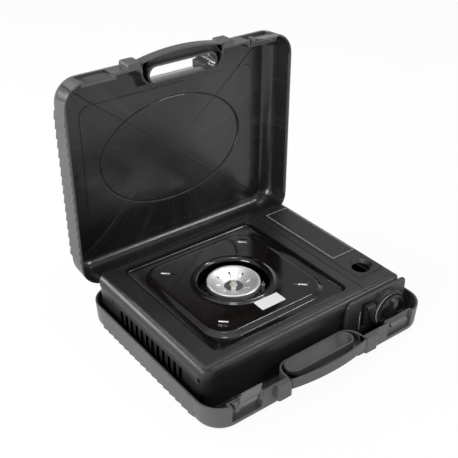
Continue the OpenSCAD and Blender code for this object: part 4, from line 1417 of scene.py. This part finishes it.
@dataclass
class PanSupport:
    """The square enamelled plate with its prongs, weld marks and a bare sticker."""

    centre: Tuple[float, float] = (-28.0, 2.0)
    half: float = 110.5
    rim_r: float = 9.0
    thick: float = 1.2
    rim_z: float = 69.82
    mid_z: float = 74.3
    mid: float = 92.0
    mid_r: float = 30.0
    slope: float = 6.0
    hole_r: float = 49.5
    bead_w: float = 10.5
    bead_top: float = 77.7
    tab_d: float = 97.0
    tab: Tuple[float, float] = (13.6, 3.0)

    def ring(self, half: float, radius: float, z: float) -> List[Vector]:
        """A rounded square at a height.

        Args:
            half: half of its side, mm.
            radius: radius of its corners, mm.
            z: its height, mm.

        Returns:
            The points, in metres.
        """
        cx, cy = self.centre
        return [
            Vector((cx + p.x, cy + p.y, z)) * MM for p in loop_of_square(half, radius, 20, 26)
        ]

    def circle(self, radius: float, z: float) -> List[Vector]:
        """A circle whose points lie in line with those of the squares.

        Args:
            radius: its radius, mm.
            z: its height, mm.

        Returns:
            The points, in metres.
        """
        cx, cy = self.centre
        points = []
        for p in loop_of_square(self.mid, self.mid_r, 20, 26):
            a = math.atan2(p.y, p.x)
            points.append(
                Vector((cx + radius * math.cos(a), cy + radius * math.sin(a), z)) * MM
            )
        return points

    def between(self, share: float, z: float) -> List[Vector]:
        """A ring between the bead's foot and the raised square's edge.

        Args:
            share: 0 at the bead and 1 at the square.
            z: its height, mm.

        Returns:
            The points, in metres.
        """
        inner = self.circle(self.hole_r + self.bead_w + 0.6, z)
        outer = self.ring(self.mid - 1.2, self.mid_r - 1.2, z)
        return [a.lerp(b, share) for a, b in zip(inner, outer)]

    def section(self) -> List[List[Vector]]:
        """The plate's rings, from the rim over the top to the hole and back underneath.

        Returns:
            The rings.
        """
        t = self.thick
        rim = self.rim_z
        top = rim + t
        face = self.mid_z + t
        foot = self.mid + self.slope
        foot_r = self.mid_r + self.slope
        rings = [self.ring(self.half, self.rim_r, rim + 0.3)]
        for inset, z in ((0.0, t + 1.0), (0.15, t + 1.25), (0.5, t + 1.35), (0.9, t + 1.2)):
            rings.append(self.ring(self.half - inset, self.rim_r - inset, rim + z))
        for inset, z in ((1.3, t + 0.5), (1.7, t + 0.12), (2.4, t)):
            rings.append(self.ring(self.half - inset, self.rim_r - inset, rim + z))
        for out, z in ((1.6, 0.0), (0.9, 0.06), (0.3, 0.35)):
            rings.append(self.ring(foot + out, foot_r + out, top + z))
        for inset, z in ((4.9, -0.9), (5.6, -0.3), (6.3, -0.06), (7.2, 0.0)):
            rings.append(self.ring(foot - inset, foot_r - inset, face + z))
        for share in (0.85, 0.6, 0.35, 0.15, 0.04):
            rings.append(self.between(share, face))
        r = self.bead_w / 2
        hub = self.hole_r + r
        hub_z = self.bead_top - r
        rings.append(self.circle(self.hole_r + self.bead_w - 0.5, face + 0.12))
        for degrees in (40, 55, 70, 85, 100, 115, 130, 145, 160, 172, 180):
            a = math.radians(degrees)
            rings.append(self.circle(hub + r * math.cos(a), hub_z + r * math.sin(a)))
        rings.append(self.circle(self.hole_r, hub_z - 1.8))
        rings.append(self.circle(self.hole_r + 0.6, hub_z - 2.1))
        rings.append(self.circle(self.hole_r + t, hub_z - 1.8))
        for degrees in (180, 150, 120, 90, 60, 42):
            a = math.radians(degrees)
            rings.append(
                self.circle(hub + (r - t) * math.cos(a), hub_z + (r - t) * math.sin(a))
            )
        rings.append(self.circle(self.hole_r + self.bead_w - 0.2, self.mid_z))
        for share in (0.1, 0.5, 0.9):
            rings.append(self.between(share, self.mid_z))
        rings.append(self.ring(foot - 7.0, foot_r - 7.0, self.mid_z))
        rings.append(self.ring(foot - 5.6, foot_r - 5.6, self.mid_z - 0.4))
        rings.append(self.ring(foot - 0.6, foot_r - 0.6, rim + 0.3))
        rings.append(self.ring(foot + 0.6, foot_r + 0.6, rim))
        rings.append(self.ring(self.half - 0.3, self.rim_r - 0.3, rim))
        return rings

    def build(self) -> None:
        """Makes the plate, its prongs, the weld marks and the sticker."""
        plate = skin_rings("pan_plate", self.section(), PART_FINISH[Slot.ENAMEL], 60.0)
        for turn in range(4):
            a = math.radians(45 + 90 * turn)
            self.cut_slot(plate, a)
        rides(plate, "pan", ["pan_support"])
        SoftCopy("support_prongs", Slot.ENAMEL, 0.45).build()
        self.build_tabs()
        self.build_welds()
        self.build_sticker()

    def cut_slot(self, plate: bpy.types.Object, angle: float) -> None:
        """Cuts one slot for a prong's tab.

        Args:
            plate: the plate.
            angle: the tab's direction from the middle, in radians.
        """
        cx, cy = self.centre
        spot = Vector(
            (
                cx + self.tab_d * math.cos(angle),
                cy + self.tab_d * math.sin(angle),
                self.mid_z + self.thick / 2,
            )
        )
        cutter = bmesh.new()
        bmesh.ops.create_cube(cutter, size=1.0)
        size = Matrix.Diagonal((self.tab[0] * MM, self.tab[1] * MM, 6 * MM, 1.0))
        place = Matrix.Translation(spot * MM) @ Matrix.Rotation(math.radians(-45), 4, "Z") @ size
        bmesh.ops.transform(cutter, matrix=place, verts=cutter.verts)
        tool = from_bmesh("cutter", cutter)
        cut = plate.modifiers.new("cut", "BOOLEAN")
        cut.object = tool
        cut.solver = "EXACT"
        settled(plate)
        bpy.data.objects.remove(tool)

    def build_tabs(self) -> None:
        """Bright slabs on the prongs' tabs, which show in the plate's slots; their pale colour is a
        painted highlight of the tabs' rounded tops.
        """
        cx, cy = self.centre
        wide, deep = self.tab[0] / 2 - 0.15, self.tab[1] / 2 - 0.15
        turn = Matrix.Rotation(math.radians(-45), 2)
        for i in range(4):
            a = math.radians(45 + 90 * i)
            spot = Vector((cx + self.tab_d * math.cos(a), cy + self.tab_d * math.sin(a)))
            corners = []
            for x, y in ((-wide, -deep), (wide, -deep), (wide, deep), (-wide, deep)):
                p = spot + turn @ Vector((x, y))
                corners.append(Vector((p.x, p.y, self.mid_z + self.thick - 0.3)) * MM)
            # Pale slab: a painted highlight on the tab's rounded top.
            made = slab(f"tab_top_{i}", corners, Vector((0, 0, 1.6 * MM)), TAB_HIGHLIGHT, 0.5 * MM)
            rides(made, "pan")

    def build_welds(self) -> None:
        """Small spot-weld marks beside the tabs and in the rim's corners."""
        cx, cy = self.centre
        face = (self.mid_z + self.thick) * MM
        rim = (self.rim_z + self.thick) * MM
        points = []
        for turn in range(4):
            a = math.radians(45 + 90 * turn)
            out = Vector((math.cos(a), math.sin(a)))
            side = Vector((-out.y, out.x))
            for along, across in ((6.0, 0.0), (9.5, -2.0), (7.5, 5.5)):
                spot = out * (self.tab_d + along) + side * across
                points.append((((cx + spot.x) * MM, (cy + spot.y) * MM, face), (0.0, 0.0, 1.0)))
            for along, across in ((139.0, 0.0), (143.0, 2.5)):
                spot = out * along + side * across
                points.append((((cx + spot.x) * MM, (cy + spot.y) * MM, rim), (0.0, 0.0, 1.0)))
        made = Scatter().on(
            "weld_marks", points, dome(1.1 * MM, 0.45 * MM), PART_FINISH[Slot.ENAMEL]
        )
        rides(made, "pan")

    def build_sticker(self) -> None:
        """A bare paper sticker on the raised middle."""
        x0, x1, y0, y1 = -40.0, 0.0, -78.0, -58.0
        face = self.mid_z + self.thick + 0.02
        corners = []
        for cx, cy, start in (
            (x1 - 1, y1 - 1, 0),
            (x0 + 1, y1 - 1, 90),
            (x0 + 1, y0 + 1, 180),
            (x1 - 1, y0 + 1, 270),
        ):
            for step in range(4):
                a = math.radians(start + 30 * step)
                corners.append(Vector((cx + math.cos(a), cy + math.sin(a), face)) * MM)
        made = slab("blank_sticker", corners, Vector((0, 0, 0.16 * MM)), PAPER)
        rides(made, "pan")


@dataclass
class Burner:
    """The burner and its gas path."""

    edge: float = 0.3
    thin_edge: float = 0.2

    def build(self) -> None:
        """Dresses the burner."""
        SoftCopy("burner_cap", Slot.CAP, self.edge).build()
        SoftCopy("burner_bowl", Slot.CAST, self.edge).build()
        SoftCopy("flame_plate", Slot.DARK_STEEL, self.thin_edge).build()
        SoftCopy("burner_bridge", Slot.BRIGHT_STEEL, 0.25, finish=BRIDGE_STEEL).build()
        SoftCopy("burner_nut", Slot.BRASS, 0.35, finish=PLATED_BRASS).build()
        SoftCopy("mixing_tube", Slot.CAST, self.thin_edge).build()
        SoftCopy("air_shutter", Slot.ZINC, self.thin_edge).build()
        SoftCopy("gas_pipe", Slot.BRASS, 0.15).build()
        SoftCopy("electrode", Slot.CERAMIC, self.thin_edge).build()
        SoftCopy("igniter_lead", Slot.SLEEVE, 0.0).build()


@dataclass
class Controls:
    """The front panel, the dial, the knob and the lock lever, with their plain printed marks."""

    knob_x: float = 136.0
    knob_z: float = 37.0
    panel_y: float = -136.5
    dial_y: float = -143.5
    ink: float = 0.12

    def build(self) -> None:
        """Dresses the controls and prints the marks."""
        SoftCopy("control_panel", Slot.PANEL, 0.7, steps=3).build()
        SoftCopy("dial_ring", Slot.DIAL, 0.2).build()
        SoftCopy("control_knob", Slot.KNOB, 0.35).build()
        SoftCopy("lock_lever", Slot.KNOB, 0.4).build()
        self.build_line()
        self.build_wedge()
        self.build_dots()

    def build_line(self) -> None:
        """A thin printed line beside the lever slot."""
        y = (self.panel_y - 0.02) * MM
        x0, x1, z0, z1 = 84.4 * MM, 85.6 * MM, 20 * MM, 46 * MM
        corners = [Vector((x, y, z)) for x, z in ((x0, z0), (x1, z0), (x1, z1), (x0, z1))]
        made = slab("panel_line", corners, Vector((0, -self.ink * MM, 0)), SILVER_INK)
        rides(made, "stove")

    def build_wedge(self) -> None:
        """The dial's mark: a band that narrows as it goes round."""
        y = (self.dial_y - 0.02) * MM
        outer, inner = [], []
        steps = 48
        for i in range(steps + 1):
            t = i / steps
            a = math.radians(212 - 132 * t)
            r0 = 23.8
            r1 = r0 + 3.3 * (1 - t) ** 0.7 + 0.3
            outer.append(self.on_dial(r1, a, y))
            inner.append(self.on_dial(r0, a, y))
        shape = bmesh.new()
        lift = Vector((0, -self.ink * MM, 0))
        rows = []
        for p, q in zip(outer, inner):
            rows.append([shape.verts.new(c) for c in (p, p + lift, q + lift, q)])
        for a, b in zip(rows, rows[1:]):
            for k in range(4):
                n = (k + 1) % 4
                shape.faces.new((a[k], a[n], b[n], b[k]))
        shape.faces.new(rows[0])
        shape.faces.new(list(reversed(rows[-1])))
        bmesh.ops.recalc_face_normals(shape, faces=shape.faces)
        rides(from_bmesh("dial_wedge", shape, SILVER_INK, 40.0), "stove")

    def on_dial(self, radius: float, angle: float, y: float) -> Vector:
        """A point on the dial's face.

        Args:
            radius: distance from the knob's axis, mm.
            angle: counter-clockwise from the right, in radians.
            y: the face's place, in metres.

        Returns:
            The point.
        """
        return Vector(
            (
                (self.knob_x + radius * math.cos(angle)) * MM,
                y,
                (self.knob_z + radius * math.sin(angle)) * MM,
            )
        )

    def build_dots(self) -> None:
        """Printed dots on the panel."""
        y = (self.panel_y - 0.02) * MM
        spots = [(85.0, 49.0, 1.0), (122.0, 68.0, 0.6)]
        for i, (x, z, r) in enumerate(spots):
            disc = [
                Vector((x * MM + r * MM * math.cos(a), y, z * MM + r * MM * math.sin(a)))
                for a in [math.tau * k / 20 for k in range(20)]
            ]
            made = slab(f"panel_dot_{i}", disc, Vector((0, -self.ink * MM, 0)), WHITE_INK)
            rides(made, "stove")
        end = self.on_dial(24.9, math.radians(76), (self.dial_y - 0.02) * MM)
        disc = [
            end + Vector((0.9 * MM * math.cos(a), 0, 0.9 * MM * math.sin(a)))
            for a in [math.tau * k / 20 for k in range(20)]
        ]
        rides(slab("dial_dot", disc, Vector((0, -self.ink * MM, 0)), SILVER_INK), "stove")


@dataclass
class CartridgeCover:
    """The hinged cover over the cartridge, with the frame of its bare label."""

    left: float = 118.0
    right: float = 159.0
    front: float = -45.0
    back: float = 108.0
    face: float = 76.8
    line: float = 0.5

    def build(self) -> None:
        """Dresses the cover and prints the frame."""
        SoftCopy("gas_cover", Slot.PAINT, 0.35).build()
        SoftCopy("cover_hinge_pins", Slot.BRIGHT_STEEL, 0.15).build()
        z = self.face + 0.02
        w = self.line
        bars = [
            (self.left, self.front, self.right, self.front + w),
            (self.left, self.back - w, self.right, self.back),
            (self.left, self.front + w, self.left + w, self.back - w),
            (self.right - w, self.front + w, self.right, self.back - w),
        ]
        for i, (x0, y0, x1, y1) in enumerate(bars):
            corners = [Vector((x, y, z)) * MM for x, y in ((x0, y0), (x1, y0), (x1, y1), (x0, y1))]
            made = slab(f"label_frame_{i}", corners, Vector((0, 0, 0.1 * MM)), WHITE_INK)
            rides(made, "cover")


@dataclass
class Mechanism:
    """The valve, the igniter and the claw behind the panel."""

    def build(self) -> None:
        """Dresses the mechanism."""
        SoftCopy("regulator_bracket", Slot.ZINC, 0.2).build()
        SoftCopy("valve_body", Slot.CAST, 0.4).build()
        SoftCopy("valve_spindle", Slot.BRASS, 0.2).build()
        SoftCopy("piezo_igniter", Slot.WHITE, 0.3).build()
        SoftCopy("cartridge_claw", Slot.ZINC, 0.2).build()


@dataclass
class Stage:
    """Camera, soft studio light and a pale floor."""

    target: Point = (0.0509, 0.1169, 0.0725)
    back: Point = (-0.5139, -0.6802, 0.5228)
    distance: float = 1.24
    lens: float = 62.9
    lamp_aim: Point = (0.02, 0.02, 0.08)
    sensor: float = 36.0
    floor_half: float = 6.0
    floor_shade: float = 0.9
    floor_white: float = 0.93
    fill: float = 0.36
    wall: float = 0.34
    overhead: float = 0.6
    lamps: Tuple[Tuple[str, Point, Tuple[float, float], float], ...] = (
        ("back_softbox", (-1.27, 1.43, 0.87), (0.7, 0.45), 17.0),
        ("back_strip", (-0.44, 1.36, 1.4), (0.25, 0.2), 4.5),
        ("right_strip", (0.93, 0.3, 1.5), (0.9, 0.1), 5.0),
        ("front_softbox", (1.03, -1.27, 1.16), (0.6, 0.4), 9.5),
        ("top_softbox", (-0.15, -0.15, 1.9), (0.3, 0.3), 4.0),
        ("left_softbox", (-1.7, -0.5, 0.5), (0.8, 0.8), 25.0),
    )

    def build(self) -> None:
        """Sets the stage."""
        scene = bpy.context.scene
        scene.view_settings.view_transform = "Standard"
        self.build_camera(scene)
        self.build_world(scene)
        self.build_floor()
        for name, place, size, power in self.lamps:
            self.lamp(name, place, size, power)

    def build_camera(self, scene: bpy.types.Scene) -> None:
        """Adds the camera.

        Args:
            scene: the scene.
        """
        data = bpy.data.cameras.new("camera")
        data.sensor_width = self.sensor
        data.lens = self.lens
        camera = bpy.data.objects.new("camera", data)
        scene.collection.objects.link(camera)
        back = Vector(self.back).normalized()
        camera.location = Vector(self.target) + back * self.distance
        camera.rotation_mode = "QUATERNION"
        camera.rotation_quaternion = (-back).to_track_quat("-Z", "Y")
        scene.camera = camera

    def build_world(self, scene: bpy.types.Scene) -> None:
        """A dim even sky that the camera sees white; mirrored, it is white at the horizon.

        Args:
            scene: the scene.
        """
        world = bpy.data.worlds.new("studio")
        world.use_nodes = True
        scene.world = world
        nodes = Nodes(world.node_tree)
        camera, mirrored = self.rays(nodes)
        _x, _y, up = nodes.axes(nodes.out("ShaderNodeTexCoord", output="Generated"))
        horizon = nodes.fit(up, 0.1, 0.45, 1.0, self.wall)
        dome = horizon + nodes.fit(up, 0.65, 0.95, 0.0, self.overhead)
        level = mirrored * (dome - self.fill) + self.fill
        sky = nodes.out(
            "ShaderNodeBackground",
            None,
            {"Color": (1.0, 1.0, 1.0, 1.0), "Strength": camera.maths("MAXIMUM", camera, level)},
        )
        nodes.node("ShaderNodeOutputWorld", None, {"Surface": sky})

    def rays(self, nodes: Nodes) -> Tuple[Sock, Sock]:
        """Tells the kinds of ray apart.

        Args:
            nodes: the tree.

        Returns:
            One for camera rays, and one for glossy and transmission rays.
        """
        path = nodes.node("ShaderNodeLightPath")
        camera, glossy, through = (
            Sock(nodes, path.outputs[label])
            for label in ("Is Camera Ray", "Is Glossy Ray", "Is Transmission Ray")
        )
        return camera, glossy.maths("MAXIMUM", glossy, through)

    def build_floor(self) -> None:
        """A pale floor that keeps a soft shadow."""
        h = self.floor_half
        mesh = bpy.data.meshes.new("floor")
        mesh.from_pydata([(-h, -h, 0), (h, -h, 0), (h, h, 0), (-h, h, 0)], [], [(0, 1, 2, 3)])
        floor = as_object("floor", mesh)
        made = bpy.data.materials.new("pale_floor")
        made.use_nodes = True
        nodes = Nodes(made.node_tree)
        shade = (self.floor_shade,) * 3 + (1.0,)
        matt = nodes.out("ShaderNodeBsdfDiffuse", None, {"Color": shade})
        glow = nodes.out(
            "ShaderNodeEmission", None, {"Color": (1.0, 1.0, 1.0, 1.0), "Strength": 1.0}
        )
        camera, mirrored = self.rays(nodes)
        share = camera.maths("MAXIMUM", camera, mirrored) * self.floor_white
        mixed = nodes.out("ShaderNodeMixShader", None, {0: share, 1: matt, 2: glow})
        nodes.node("ShaderNodeOutputMaterial", None, {"Surface": mixed})
        mesh.materials.append(made)

    def lamp(self, name: str, place: Point, size: Tuple[float, float], power: float) -> None:
        """Adds a soft lamp that faces the object.

        Args:
            name: its name.
            place: its place.
            size: its width and height.
            power: watts.
        """
        data = bpy.data.lights.new(name, "AREA")
        data.shape = "RECTANGLE"
        data.size, data.size_y = size
        data.energy = power
        lamp = bpy.data.objects.new(name, data)
        bpy.context.scene.collection.objects.link(lamp)
        lamp.location = place
        aim = Vector(self.lamp_aim) - Vector(place)
        lamp.rotation_mode = "QUATERNION"
        lamp.rotation_quaternion = aim.to_track_quat("-Z", "Y")


def main() -> None:
    """Builds the stage and every sub-assembly."""
    logging.basicConfig(level=logging.INFO, format="%(name)s: %(message)s")
    Stage().build()
    for part in (
        CarryingCase(),
        StoveBody(),
        PanSupport(),
        Burner(),
        Controls(),
        CartridgeCover(),
        Mechanism(),
    ):
        LOG.info("building %s", type(part).__name__)
        part.build()


if __name__ == "__main__":
    main()
